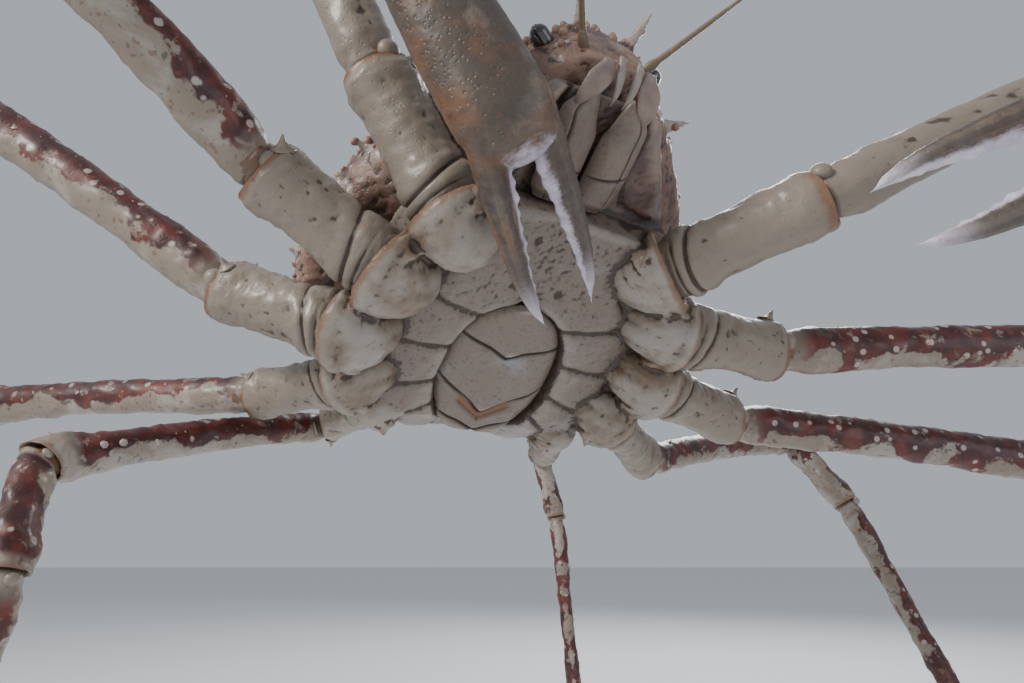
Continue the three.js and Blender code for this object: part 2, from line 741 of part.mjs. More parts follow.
const group = new THREE.Group();
group.name = 'spider_crab';
for (const mesh of meshes) {
  group.add(mesh);
}
export default group;
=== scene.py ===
"""Giant spider crab: the dressed museum model, its floor, light and camera."""
import math

import bpy
import numpy as np
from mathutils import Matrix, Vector
from mathutils.kdtree import KDTree


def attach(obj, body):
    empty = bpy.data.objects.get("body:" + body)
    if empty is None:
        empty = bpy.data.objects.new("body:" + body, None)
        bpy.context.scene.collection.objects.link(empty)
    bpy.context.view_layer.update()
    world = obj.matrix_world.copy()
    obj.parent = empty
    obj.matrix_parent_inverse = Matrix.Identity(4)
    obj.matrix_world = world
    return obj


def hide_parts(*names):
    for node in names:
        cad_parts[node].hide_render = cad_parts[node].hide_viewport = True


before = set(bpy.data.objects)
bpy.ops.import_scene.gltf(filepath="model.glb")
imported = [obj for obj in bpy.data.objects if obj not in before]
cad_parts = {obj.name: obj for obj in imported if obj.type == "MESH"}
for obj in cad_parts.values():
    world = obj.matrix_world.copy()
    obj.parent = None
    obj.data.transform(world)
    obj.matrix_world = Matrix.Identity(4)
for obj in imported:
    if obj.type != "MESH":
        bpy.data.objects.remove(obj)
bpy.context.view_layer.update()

bl_info = {
    "name": "Giant Spider Crab",
    "version": (1, 0, 0),
    "blender": (4, 5, 0),
    "location": "3D View > Sidebar > Crab",
    "description": "Builds the shell, limbs, claws and finishes of a life-size spider crab model",
    "category": "Add Mesh",
}

# ------------------------------------------------------------------ sizes, in metres
MM = 0.001
ACROSS = np.array([1.0, 0, 0])
UP = np.array([0.0, 0, 1])
GAP = 0.3 * MM
HEADING = 27.8
NOSE_UP = 36.4
ROLL = 4.1
ORIGIN_SHIFT = np.array([-87.0, -488.0, 0.0]) * MM
BODY_AT = np.array([-3.0, 491.0, 462.0]) * MM + ORIGIN_SHIFT
HALF_WIDTH = 150.0
REAR_Y = 112.0
FRONT_Y = -205.0
RIM_Z = 60.0
SPLIT_Z = 34.0
MOUTH_Z = 21.0
TOP_Z = 152.0
FOOT_FLAT = 2.6

# Hip place in the body frame, lengths of ischium to dactylus, radii of coxa to dactylus (mm).
LIMBS = {
    1: ((78, -97, -9), (110, 285, 116, 290, 112), (28, 24, 20, 21, 27, 13)),
    2: ((108, -54, -14), (100, 332, 118, 262, 170), (27, 24, 18.5, 18, 14.5, 11)),
    3: ((120, -4, -14), (98, 320, 112, 252, 165), (26, 22, 17, 16.5, 13.5, 10.5)),
    4: ((106, 43, -5), (92, 280, 96, 236, 155), (24, 19, 14.5, 14.5, 12, 9.5)),
    5: ((74, 77, 12), (85, 212, 80, 215, 155), (20, 16, 12.5, 12, 10, 8.5)),
}

# Bearing (0 is -Y, 90 is +X) and rise of each segment, in degrees.
STANCE = {
    ("right", 1): ((-81, 62), (-75, 61), (58, -36), (106, -60), (151, -51)),
    ("left", 1): ((66, 18), (88, 24), (38, 0), (-85, -29), (-99, -22)),
    ("right", 2): ((-79, 38), (-40, 29), (-72, -25), (-76, -62), (-66, -74)),
    ("left", 2): ((114, -2), (93, 1), (70, -45), (52, -72), (50,)),
    ("right", 3): ((-101, 21), (-88, 34), (-84, -32), (-80, -68), (-72, -80)),
    ("left", 3): ((126, -12), (95, -7), (86, -32), (80, -56), (78,)),
    ("right", 4): ((-119, -2), (-106, 1), (-100, -55), (-86, -75), (-80,)),
    ("left", 4): ((151, -16), (132, 9), (46, -53), (61, -68), (70,)),
    ("right", 5): ((-138, -5), (-37, -13), (29, -51), (-100, -80), (-70,)),
    ("left", 5): ((-179, -6), (179, 6), (115, -74), (37, -82), (120,)),
}
SEGMENTS = ("ischium", "merus", "carpus", "propodus", "dactylus")
SWELL = {
    "ischium": ((0, 0.92), (0.12, 1.06), (0.4, 0.92), (0.75, 0.96), (0.9, 1.04), (1, 0.92)),
    "merus": ((0, 0.86), (0.06, 1.0), (0.3, 0.92), (0.6, 0.94), (0.86, 1.06), (0.95, 1.22), (1, 1.0)),
    "carpus": ((0, 0.84), (0.16, 1.02), (0.5, 0.94), (0.85, 1.1), (1, 0.92)),
    "propodus": ((0, 0.84), (0.06, 1.06), (0.3, 0.92), (0.7, 0.86), (0.93, 1.04), (1, 0.84)),
    "dactylus": ((0, 0.84), (0.07, 1.0), (0.3, 0.86), (0.6, 0.62), (0.85, 0.4), (1, 0.16)),
    "palm": ((0, 0.62), (0.06, 0.8), (0.25, 0.84), (0.55, 0.92), (0.82, 1.1), (0.94, 1.12), (1, 0.9)),
}
# How far a finger's middle stands out from the hand's middle line, and its half thickness, in palm radii.
FINGER_OUT = ((-0.35, 0.5), (-0.05, 0.62), (0.2, 0.68), (0.45, 0.74), (0.7, 0.76), (0.88, 0.7), (1, 0.6))
FINGER_SIZE = ((-0.35, 0.42), (-0.05, 0.5), (0.2, 0.45), (0.45, 0.36), (0.7, 0.26), (0.88, 0.15), (1, 0.03))
TEETH = 9
WEB_RINGS = 8


# ------------------------------------------------------------------ small geometry tools
def unit(v):
    return v / np.linalg.norm(v)


def turn_matrix():
    a, b, c = math.radians(HEADING), math.radians(-NOSE_UP), math.radians(ROLL)
    z = np.array([[math.cos(a), -math.sin(a), 0], [math.sin(a), math.cos(a), 0], [0, 0, 1]])
    x = np.array([[1, 0, 0], [0, math.cos(b), -math.sin(b)], [0, math.sin(b), math.cos(b)]])
    y = np.array([[math.cos(c), 0, math.sin(c)], [0, 1, 0], [-math.sin(c), 0, math.cos(c)]])
    return z @ x @ y


BODY_TURN = turn_matrix()


def in_world(points):
    """Body-frame millimetres to the row frame in metres."""
    return np.asarray(points, float) * MM @ BODY_TURN.T + BODY_AT


def turned(direction):
    return BODY_TURN @ unit(np.asarray(direction, float))


def heading(bearing, rise):
    flat = math.cos(math.radians(rise))
    return np.array([flat * math.sin(math.radians(bearing)),
                     -flat * math.cos(math.radians(bearing)), math.sin(math.radians(rise))])


def limb_joints(side, pair):
    """Joint centres of a limb in metres, hip first, tip last."""
    hip, reach, _ = LIMBS[pair]
    sign = 1 if side == "left" else -1
    points = [in_world((sign * hip[0], hip[1], hip[2]))]
    for aim, length in zip(STANCE[(side, pair)], reach):
        start = points[-1]
        length = length * MM
        if len(aim) > 1:
            rise = aim[1]
        else:
            rise = -math.degrees(math.asin(min(1.0, max(0.0, start[2] / length))))
        points.append(start + length * heading(aim[0], rise))
    return points


def aims_of(points):
    return [unit(b - a) for a, b in zip(points, points[1:])]


def dorsal_sides(aims):
    """The outer side of each segment: square to it, in the plane in which the limb bends."""
    hinge = unit(np.cross(aims[1], aims[3]))
    if np.cross(hinge, aims[1])[2] < 0:
        hinge = -hinge
    return [unit(np.cross(hinge - aim * hinge.dot(aim), aim)) for aim in aims]


def smooth_values(keys, where):
    """A smooth curve through (place, value) pairs with no overshoot."""
    x = np.array([k[0] for k in keys], float)
    y = np.array([k[1] for k in keys], float)
    slope = np.diff(y) / np.diff(x)
    tangent = np.zeros_like(y)
    for i in range(1, len(y) - 1):
        if slope[i - 1] * slope[i] > 0:
            tangent[i] = 2 * slope[i - 1] * slope[i] / (slope[i - 1] + slope[i])
    where = np.clip(where, x[0], x[-1])
    i = np.clip(np.searchsorted(x, where) - 1, 0, len(x) - 2)
    h = x[i + 1] - x[i]
    t = (where - x[i]) / h
    return ((2 * t ** 3 - 3 * t ** 2 + 1) * y[i] + (t ** 3 - 2 * t ** 2 + t) * h * tangent[i]
            + (-2 * t ** 3 + 3 * t ** 2) * y[i + 1] + (t ** 3 - t ** 2) * h * tangent[i + 1])


def profile_at(keys, part):
    """The value of a smooth curve at one place."""
    return float(smooth_values(keys, np.array([part]))[0])


def square_pair(along, hint):
    """Two directions that are square to the first and to one another."""
    u = unit(np.cross(along, hint))
    return u, np.cross(along, u)


def upright_pair(axis, up):
    """The part of up that is square to the axis, and the direction square to both."""
    u = unit(up - axis * up.dot(axis))
    return u, np.cross(axis, u)


def circle(centre, size, u, v, sides):
    angle = np.linspace(0, 2 * math.pi, sides, endpoint=False)[:, None]
    return centre + size * (np.cos(angle) * u + np.sin(angle) * v)


class Ripple:
    """Smooth repeatable roughness in space, from a few dozen seeded waves."""

    def __init__(self, seed, size, waves=28):
        random = np.random.default_rng(seed)
        direction = random.normal(size=(waves, 3))
        direction /= np.linalg.norm(direction, axis=1)[:, None]
        self.k = direction * (2 * math.pi / size) * random.uniform(0.55, 1.6, (waves, 1))
        self.phase = random.uniform(0, 2 * math.pi, waves)

    def __call__(self, points):
        flat = points.reshape(-1, 3)
        value = np.sin(flat @ self.k.T + self.phase).sum(1) / math.sqrt(len(self.phase) / 2)
        return value.reshape(points.shape[:-1])


COARSE = Ripple(3, 0.035)
MIDDLE = Ripple(5, 0.012)
FINE = Ripple(8, 0.005)


class Skin:
    """Vertices, faces and named per-vertex values of one surface.

    A value that one surface leaves out is zero there.
    """

    def __init__(self):
        self.points = []
        self.faces = []
        self.values = {}
        self.count = 0

    def add(self, points, faces, **values):
        points = np.asarray(points, float).reshape(-1, 3)
        for name in dict.fromkeys([*self.values, *values]):
            store = self.values.setdefault(name, [np.zeros(self.count)] if self.count else [])
            value = values.get(name, 0.0)
            store.append(np.broadcast_to(np.asarray(value, float).reshape(-1), (len(points),))
                         if np.ndim(value) else np.full(len(points), float(value)))
        self.points.append(points)
        self.faces.extend([tuple(int(i) + self.count for i in face) for face in faces])
        self.count += len(points)

    def add_rings(self, rings, **values):
        """Closed rings one after another, with both ends capped by a centre point."""
        rows, around = rings.shape[:2]
        points = np.vstack([rings.reshape(-1, 3), rings[0].mean(0), rings[-1].mean(0)])
        first, last = rows * around, rows * around + 1
        faces = []
        for j in range(around):
            k = (j + 1) % around
            for i in range(rows - 1):
                faces.append((i * around + j, i * around + k, (i + 1) * around + k, (i + 1) * around + j))
            faces.append((first, k, j))
            faces.append((last, (rows - 1) * around + j, (rows - 1) * around + k))
        out = {}
        for name, value in values.items():
            grid = np.broadcast_to(value, (rows, around)).reshape(-1)
            out[name] = np.concatenate([grid, [np.mean(grid[:around]), np.mean(grid[-around:])]])
        if signed_volume(points, faces) < 0:
            faces = [tuple(reversed(face)) for face in faces]
        self.add(points, faces, **out)

    def all_points(self):
        return np.vstack(self.points)

    def all_values(self):
        return {name: np.concatenate([np.broadcast_to(v, (len(p),)) for v, p in zip(parts, self.points)])
                for name, parts in self.values.items()}


def signed_volume(points, faces):
    total = 0.0
    centre = points.mean(0)
    for face in faces[::7]:
        a, b, c = points[face[0]] - centre, points[face[1]] - centre, points[face[2]] - centre
        total += a.dot(np.cross(b, c))
    return total


def mesh_object(name, points, faces, values, material):
    mesh = bpy.data.meshes.new(name)
    mesh.from_pydata([tuple(p) for p in points], [], faces)
    mesh.update()
    for key, value in values.items():
        set_value(mesh, key, value)
    mesh.polygons.foreach_set("use_smooth", [True] * len(mesh.polygons))
    obj = bpy.data.objects.new(name, mesh)
    bpy.context.scene.collection.objects.link(obj)
    mesh.materials.append(material)
    return obj


def set_value(mesh, key, value):
    mesh.attributes.new(key, "FLOAT", "POINT").data.foreach_set("value", np.asarray(value, np.float32))


def mesh_arrays(mesh):
    points = np.empty(len(mesh.vertices) * 3)
    mesh.vertices.foreach_get("co", points)
    edges = np.empty(len(mesh.edges) * 2, int)
    mesh.edges.foreach_get("vertices", edges)
    return points.reshape(-1, 3), edges.reshape(-1, 2)


def evened(points, edges, rounds, share=0.5):
    """The points drawn towards the middle of their neighbours, several times over."""
    count = len(points)
    here = np.concatenate([edges[:, 0], edges[:, 1]])
    there = np.concatenate([edges[:, 1], edges[:, 0]])
    near = np.maximum(1, np.bincount(here, minlength=count))
    for _ in range(rounds):
        middle = np.stack([np.bincount(here, weights=points[there, i], minlength=count) for i in range(3)], 1)
        points = points + share * (middle / near[:, None] - points)
    return points


def mark_hollows(mesh):
    """Stores how deep each point lies in a groove, narrow (crease) and wide (hollow)."""
    points, edges = mesh_arrays(mesh)
    normals = np.empty(len(mesh.vertices) * 3)
    mesh.vertices.foreach_get("normal", normals)
    normals = normals.reshape(-1, 3)
    near = evened(points, edges, 6, 0.6)
    far = evened(near, edges, 34, 0.9)
    # The finishes lay painted shade where these crease and hollow values are high.
    set_value(mesh, "crease", np.clip(((near - points) * normals).sum(1) / 0.00035, -1, 1))
    set_value(mesh, "hollow", np.clip(((far - points) * normals).sum(1) / 0.0022, -1, 1))


def plain_piece(name, skin, material):
    obj = mesh_object(name, skin.all_points(), skin.faces, skin.all_values(), material)
    mark_hollows(obj.data)
    return obj


def fused_piece(name, skin, material, voxel, rounds, rough=0.0):
    """The skin's overlapping shells melted into one surface, keeping the nearest values."""
    raw = mesh_object(name + "_raw", skin.all_points(), skin.faces, {}, material)
    remesh = raw.modifiers.new("melt", "REMESH")
    remesh.mode = "VOXEL"
    remesh.voxel_size = voxel
    graph = bpy.context.evaluated_depsgraph_get()
    melted = bpy.data.meshes.new_from_object(raw.evaluated_get(graph))
    bpy.data.objects.remove(raw)
    points, edges = mesh_arrays(melted)
    points = evened(points, edges, rounds)
    melted.vertices.foreach_set("co", points.ravel())
    melted.update()
    if rough:
        normals = np.empty(len(points) * 3)
        melted.vertices.foreach_get("normal", normals)
        push = rough * (0.6 * MIDDLE(points) + 0.5 * FINE(points))
        points = points + normals.reshape(-1, 3) * push[:, None]
        melted.vertices.foreach_set("co", points.ravel())
        melted.update()
    source = skin.all_points()
    tree = KDTree(len(source))
    for i, p in enumerate(source):
        tree.insert(p, i)
    tree.balance()
    nearest = np.array([tree.find(p)[1] for p in points])
    for key, value in skin.all_values().items():
        set_value(melted, key, value[nearest])
    mark_hollows(melted)
    melted.polygons.foreach_set("use_smooth", [True] * len(melted.polygons))
    melted.materials.clear()
    melted.materials.append(material)
    melted.name = name
    obj = bpy.data.objects.new(name, melted)
    bpy.context.scene.collection.objects.link(obj)
    return obj


def finish_piece(obj, slot, *nodes):
    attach(obj, "root")
    if nodes:
        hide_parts(*nodes)


# Width of a thorn along its length, from its foot inside the surface to its tip.
THORN = ((-0.2, 1.7), (-0.05, 1.4), (0.08, 1.0), (0.22, 0.7), (0.45, 0.46), (0.72, 0.27), (1.0, 0.06))


def thorn_points(root, direction, length, radius, sides=10):
    """A thorn with a swelling foot that starts inside the surface."""
    along = unit(direction)
    u, v = square_pair(along, (0.0, 0, -1) if abs(along[2]) < 0.9 else (-1.0, 0, 0))
    return np.array([circle(root + along * part * length, radius * size, u, v, sides)
                     for part, size in THORN])


def lengthened(grid, count):
    """A grid of values with its last row repeated."""
    return np.concatenate([grid, np.repeat(grid[-1:], count, 0)])


# ------------------------------------------------------------------ limb surfaces
def segment_rings(start, end, start_normal, end_normal, profile, radius, flat, bow, up,
                  stations=60, around=44, cup=0.5, ball=0.5, lip=1.05):
    """Rings of one limb segment: a ball that sits in the last cup, the shaft, and its own cup.

    Returns the rings with the values top (1 on the outer side), along (0 to 1) and rim.
    """
    axis = end - start
    length = np.linalg.norm(axis)
    axis = axis / length
    u, v = upright_pair(axis, up)
    angle = np.linspace(0, 2 * math.pi, around, endpoint=False)
    unit_ring = np.cos(angle)[:, None] * u + flat * np.sin(angle)[:, None] * v
    shaft = np.linspace(0, 1, stations)
    shaft = 0.5 - 0.5 * np.cos(math.pi * (0.12 + 0.76 * shaft))
    shaft = (shaft - shaft[0]) / (shaft[-1] - shaft[0])
    rows = []
    first = radius * profile_at(profile, 0.0)
    last = radius * profile_at(profile, 1.0)
    if ball > 0:
        for turn in np.linspace(0.12, 0.9, 6):
            quarter = turn * math.pi / 2
            rows.append((0.0, -ball * first * math.cos(quarter), first * math.sin(quarter), 0.0, 0.35))
    for part in shaft:
        size = radius * profile_at(profile, part)
        edge = max(0.0, 1 - (1 - part) * length / (0.45 * radius)) if cup > 0 else 0.0
        rows.append((part, 0.0, size * (1 + (lip - 1) * edge), edge, 0.0))
    if cup > 0:
        rows.append((1.0, 0.02 * last, last * lip * 0.97, 1.0, 0.0))
        rows.append((1.0, 0.0, last * lip * 0.91, 0.9, 0.3))
        rows.append((1.0, -0.2 * cup * last, last * 0.84, 0.4, 0.8))
        rows.append((1.0, -0.7 * cup * last, last * 0.74, 0.0, 1.0))
        rows.append((1.0, -cup * last, last * 0.4, 0.0, 1.0))
    rings, top, along, rim, deep = [], [], [], [], []
    start_tan = math.tan(math.acos(min(1.0, max(0.2, start_normal.dot(axis)))))
    end_tan = math.tan(math.acos(min(1.0, max(0.2, end_normal.dot(axis)))))
    for part, shift, size, edge, inside in rows:
        offset = unit_ring * size
        start_lean = -(offset @ start_normal) / axis.dot(start_normal)
        end_lean = -(offset @ end_normal) / axis.dot(end_normal)
        start_reach = 2 * radius * start_tan + 0.004
        end_reach = 2 * radius * end_tan + 0.004
        slide = (start_lean * max(0.0, 1 - part * length / start_reach)
                 + end_lean * max(0.0, 1 - (1 - part) * length / end_reach) + shift)
        centre = start + axis * part * length + u * bow * math.sin(math.pi * part)
        rings.append(centre + offset + axis * slide[:, None])
        top.append(np.cos(angle))
        along.append(np.full(around, part))
        rim.append(np.full(around, edge))
        deep.append(np.full(around, inside))
    return (np.array(rings), {"top": np.array(top), "along": np.array(along),
                              "rim": np.array(rim), "deep": np.array(deep)})


def roughen(rings, amount, fine=0.35):
    """Moves ring points in and out by the shared ripples."""
    centre = rings.mean(1, keepdims=True)
    out = rings - centre
    reach = np.linalg.norm(out, axis=2, keepdims=True) + 1e-9
    push = amount * (COARSE(rings) + 0.7 * MIDDLE(rings) + fine * FINE(rings))
    return rings + out / reach * push[..., None]


def collar_groove(rings, values, start, aim, radius):
    """The slanting groove that sets off the short ring next to the hip from the rest."""
    reach = ((rings - start) @ aim) / radius
    centre = rings.mean(1, keepdims=True)
    away = np.abs(reach - 0.95 - 0.42 * values["top"])
    outside = 1 - values["deep"]
    groove = np.exp(-(away / 0.07) ** 2) * outside
    second = np.exp(-(np.abs(reach - 0.42 - 0.2 * values["top"]) / 0.05) ** 2) * outside
    swell = np.exp(-((away - 0.28) / 0.2) ** 2) * outside
    second *= np.clip(0.55 - 0.75 * values["top"], 0, 1)
    groove *= 0.55 + 0.45 * np.clip(0.3 - values["top"], 0, 1)
    push = radius * (0.11 * groove + 0.05 * second - 0.035 * swell)
    out = rings - centre
    out /= np.linalg.norm(out, axis=2, keepdims=True) + 1e-9
    values["groove"] = np.clip(groove + 0.7 * second, 0, 1)
    return rings - out * push[..., None]


def joint_sleeve(skin, before, at, after, radius):
    """The wrinkled skin that shows inside a joint."""
    rows = []
    for part in np.linspace(0, 1, 22):
        a = at - before * radius * 0.9
        b = at + after * radius * 0.9
        centre = (1 - part) ** 2 * a + 2 * part * (1 - part) * at + part ** 2 * b
        u, v = square_pair(unit((1 - part) * before + part * after), (0.3, 0.2, 0.93))
        rows.append(circle(centre, radius * (0.77 + 0.014 * math.sin(part * 2 * math.pi * 7)), u, v, 32))
    skin.add_rings(np.array(rows))


def knob(skin, centre, size, direction, stretch=1.0, sides=16, **values):
    """A small rounded swelling, such as the hinge knuckle at the side of a joint."""
    along = unit(direction)
    u, v = square_pair(along, (0.21, 0.13, 0.97))
    rows = [circle(centre - along * size * stretch * math.cos(turn), size * math.sin(turn), u, v, sides)
            for turn in np.linspace(0.04, 0.96, 9) * math.pi]
    skin.add_rings(np.array(rows), **values)


def bisector(before, after):
    return unit(before + after)


# Spurs of a limb: segment, part of its length, angle from the outer side, length, radius.
SPURS = (
    (0, 0.92, 20, 8.5, 4.2), (0, 0.95, -60, 6, 3.6), (1, 0.97, 0, 8, 4), (1, 0.95, 130, 5, 3),
    (2, 0.93, 15, 6, 3.5),
)


def add_spurs(skin, index, start, end, radius, profile, up, scale, seed):
    """The named spurs of a segment, and on the merus two loose rows of small ones."""
    axis = unit(end - start)
    u, v = upright_pair(axis, up)

    def spur(part, turn, sunk, lean, length, base, sides, share):
        size = radius * profile_at(profile, part)
        out = math.cos(math.radians(turn)) * u + math.sin(math.radians(turn)) * v
        root = start + axis * part * np.linalg.norm(end - start) + out * size * sunk
        rings = thorn_points(root, out + lean * axis, length, base, sides)
        skin.add_rings(rings, top=0.2, along=part, spur=share)

    for which, part, turn, length, base in SPURS:
        if which == index:
            spur(part, turn, 0.92, 0.5, length * MM * scale, base * MM * scale, 10, 1.0)
    random = np.random.default_rng(seed)
    if index == 1:
        for _ in range(16):
            part = random.uniform(0.05, 0.92)
            turn = random.choice([-48, 42]) + random.normal() * 9
            spur(part, turn, 0.95, 0.25, random.uniform(1.6, 3.2) * MM, 1.7 * MM, 7, 0.8)


def build_limb(side, pair, looks):
    """The segments of one limb with their spurs, hinge knuckles and the skin in the joints."""
    claw = pair == 1
    stem = f"claw_{side}" if claw else f"leg_{side}_{pair}"
    radii = LIMBS[pair][2]
    joints = limb_joints(side, pair)
    aims = aims_of(joints)
    outer = dorsal_sides(aims)
    standing = len(STANCE[(side, pair)][4]) == 1
    sleeve = Skin()
    for i, name in enumerate(SEGMENTS[:3] if claw else SEGMENTS):
        foot = name == "dactylus"
        start_normal = aims[0] if i == 0 else bisector(aims[i - 1], aims[i])
        end_normal = aims[i] if foot else bisector(aims[i], aims[i + 1])
        if foot and standing:
            end_normal = -UP
        radius = radii[i + 1] * MM
        profile = SWELL[name]
        if not claw:
            profile = [(part, max(share, FOOT_FLAT * MM / radius)) for part, share in profile]
        pull = 0.0 if foot else 0.16 * radius / max(0.3, end_normal.dot(aims[i]))
        start = joints[i] + aims[i] * 0.1 * radius
        end = joints[i + 1] - aims[i] * pull
        stations = int(30 + 70 * np.linalg.norm(end - start) / 0.3)
        if i == 0:
            stations = 96 if claw else 90
        bow = radius * (0.5 if claw else 0.25) if name == "merus" else 0.0
        rings, values = segment_rings(
            start, end, start_normal, end_normal, profile, radius, 0.92 if claw else 0.9, bow, outer[i],
            stations=stations, around=56 if claw or i == 0 else 40, cup=0.0 if foot else 0.6)
        if i == 0:
            rings = collar_groove(rings, values, start, aims[0], radius)
        if claw:
            rings = roughen(rings, 0.0004, 0.2)
        else:
            rings = roughen(rings, 0.0001 if foot else 0.00045)
        if foot and standing:
            rings[..., 2] = np.maximum(rings[..., 2], 0.0)
        skin = Skin()
        skin.add_rings(rings, spur=0.0, **values)
        scale = 1.1 if claw else radius / 0.018
        seed = (77 if claw else pair * 31) + i + len(side)
        add_spurs(skin, i, start, end, radius, profile, outer[i], scale, seed)
        if i > 0:
            hinge = np.cross(aims[i], outer[i])
            for way in (-1, 1):
                knob(skin, joints[i] + way * hinge * radii[i] * MM * 0.74, radii[i] * MM * 0.3,
                     hinge, 0.8, rim=0.35)
            joint_sleeve(sleeve, aims[i - 1], joints[i], aims[i], min(radii[i], radii[i + 1]) * MM)
        look = looks["claw_" + name] if claw else looks.get(f"{name}_{side}", looks.get(name))
        piece = plain_piece(f"{stem}_{name}_shell", skin, look)
        dark = not claw and name in ("merus", "propodus")
        finish_piece(piece, "dark_shell" if dark else "pale_shell", f"{stem}_{name}")
    if claw:
        joint_sleeve(sleeve, aims[2], joints[3], aims[3], radii[3] * MM * 0.85)
        build_hand(side, joints, aims, radii[4] * MM, looks)
    piece = plain_piece(f"{stem}_joint_skin", sleeve, looks["sleeve"])
    finish_piece(piece, "pale_shell")


def finger_rings(knuckle, tip, spread, thick, sign, radius):
    """One finger: bowed out from the hand's middle line, tapering to a blunt tip."""
    reach = tip - knuckle
    parts = np.linspace(-0.35, 1.0, 70)
    out = smooth_values(FINGER_OUT, parts)
    size = smooth_values(FINGER_SIZE, parts) * (0.15 + 0.85 * np.clip((parts + 0.35) / 0.3, 0, 1))
    angle = np.linspace(0, 2 * math.pi, 40, endpoint=False)
    rings, inner, along = [], [], []
    for part, o, s in zip(parts, out, size):
        centre = knuckle + reach * part + spread * sign * radius * o
        toward = -sign * np.cos(angle)
        ring = (centre + spread * (radius * s * 0.85 * np.cos(angle))[:, None]
                + thick * (radius * s * np.sin(angle) * (1 - 0.28 * np.maximum(0, toward) ** 2))[:, None])
        rings.append(ring)
        inner.append(toward)
        along.append(np.full(len(angle), max(0.0, part)))
    return np.array(rings), np.array(inner), np.array(along)


def build_hand(side, joints, aims, radius, looks):
    """Palm with the fixed finger, and the moving finger, each with a row of blunt teeth."""
    wrist, knuckle = joints[3], joints[4]
    along, tip = aims[3], joints[5]
    across = np.array([1, 0.15, 0.3]) if side == "right" else np.array([0.3, 0.1, 1.0])
    spread, thick = upright_pair(along, across)
    start_normal = bisector(aims[2], along)
    palm, values = segment_rings(
        wrist + along * 0.06 * radius, knuckle + along * 10 * MM, start_normal, along,
        SWELL["palm"], radius, 0.72, 0.0, spread, stations=80, around=64, cup=0.0, ball=0.4)
    turns = np.linspace(0.2, 1.45, WEB_RINGS)[:, None, None]
    middle = palm[-1].mean(0)
    dome = middle + (palm[-1] - middle) * np.cos(turns) + along * radius * 0.42 * np.sin(turns)
    shade = np.tile(0.25 + 0.5 * np.sin(turns[:, 0]), (1, palm.shape[1]))
    gape = np.concatenate([np.zeros(palm.shape[:2]), shade])
    palm = np.concatenate([palm, dome])
    values = {key: lengthened(value, WEB_RINGS) for key, value in values.items()}
    palm_skin = Skin()
    palm_skin.add_rings(palm, inner=gape, tip=0.0, streak=0.0, **values)
    for sign, name in ((-1, "palm"), (1, "dactylus")):
        rings, inner, part = finger_rings(knuckle, tip, spread, thick, sign, radius)
        skin = palm_skin if name == "palm" else Skin()
        if name == "dactylus":
            start = next(i for i, row in enumerate(rings) if (row.mean(0) - knuckle).dot(along) > -8 * MM)
            rings, inner, part = rings[start:], inner[start:], part[start:]
        streak = np.exp(-((inner - 0.15) / 0.3) ** 2) + np.exp(-((inner + 0.75) / 0.22) ** 2)
        skin.add_rings(rings, along=1.0, inner=inner, tip=part, streak=streak)
        if sign > 0:
            bulge = knuckle + spread * radius * 0.56 - along * radius * 0.1
            knob(palm_skin, bulge, radius * 0.5, along, 1.7, 24, along=1.0)
        for k in range(TEETH):
            place = 0.24 + 0.075 * k
            size = radius * profile_at(FINGER_SIZE, place)
            out = radius * profile_at(FINGER_OUT, place)
            centre = knuckle + (tip - knuckle) * place + spread * sign * (out - size * 0.8)
            knob(skin, centre, size * (0.3 if k % 3 == 1 else 0.24), aims[4], 1.3, 12,
                 along=1.0, inner=1.0, tip=place)
        piece = fused_piece(f"claw_{side}_{name}_shell", skin, looks["hand"], 0.0011, 9, 0.00012)
        finish_piece(piece, "claw_shell", f"claw_{side}_{name}")


# ------------------------------------------------------------------ body surfaces
def half_width(y):
    y = np.asarray(y, float)
    rear = HALF_WIDTH * np.sqrt(np.maximum(0, 1 - (np.maximum(y, 0) / REAR_Y) ** 2.4))
    front = HALF_WIDTH * np.maximum(0, 1 - (y / (FRONT_Y - 20)) ** 2)
    return np.where(y > 0, rear, front)


def back_height(y):
    part = np.clip((REAR_Y - np.asarray(y, float)) / (REAR_Y - FRONT_Y), 0, 1)
    rear = np.sqrt(np.maximum(0, 1 - (1 - np.clip(part / 0.34, 0, 1)) ** 2))
    fall = 1 - 0.5 * np.clip((part - 0.34) / 0.66, 0, 1) ** 1.5
    return RIM_Z + (TOP_Z - RIM_Z) * rear * fall


# Swellings of the back: x, y, reach across, reach along, height (mm).
BACK_REGIONS = (
    (0, -108, 34, 40, 9), (0, -44, 28, 24, 8), (0, 8, 28, 28, 10), (0, 66, 36, 22, 7),
    (76, 10, 44, 56, 10), (-76, 10, 44, 56, 10), (66, -88, 24, 26, 6), (-66, -88, 24, 26, 6),
)
# Furrows of the back as polylines in x, y (mm); each is mirrored.
BACK_FURROWS = (
    ((0, -76), (26, -72), (48, -58), (74, -66), (104, -84)),
    ((30, -62), (34, -30), (30, 0), (38, 34), (30, 60)),
    ((0, 38), (30, 40)),
)


def nearest_line(x, y, lines):
    """Distance from each place to the nearest of the polylines and their mirror images."""
    best = np.full(np.shape(x), 1e9)
    for line in lines:
        for (ax, ay), (bx, by) in zip(line, line[1:]):
            dx, dy = bx - ax, by - ay
            t = np.clip(((np.abs(x) - ax) * dx + (y - ay) * dy) / (dx * dx + dy * dy), 0, 1)
            best = np.minimum(best, np.hypot(np.abs(x) - ax - t * dx, y - ay - t * dy))
    return best


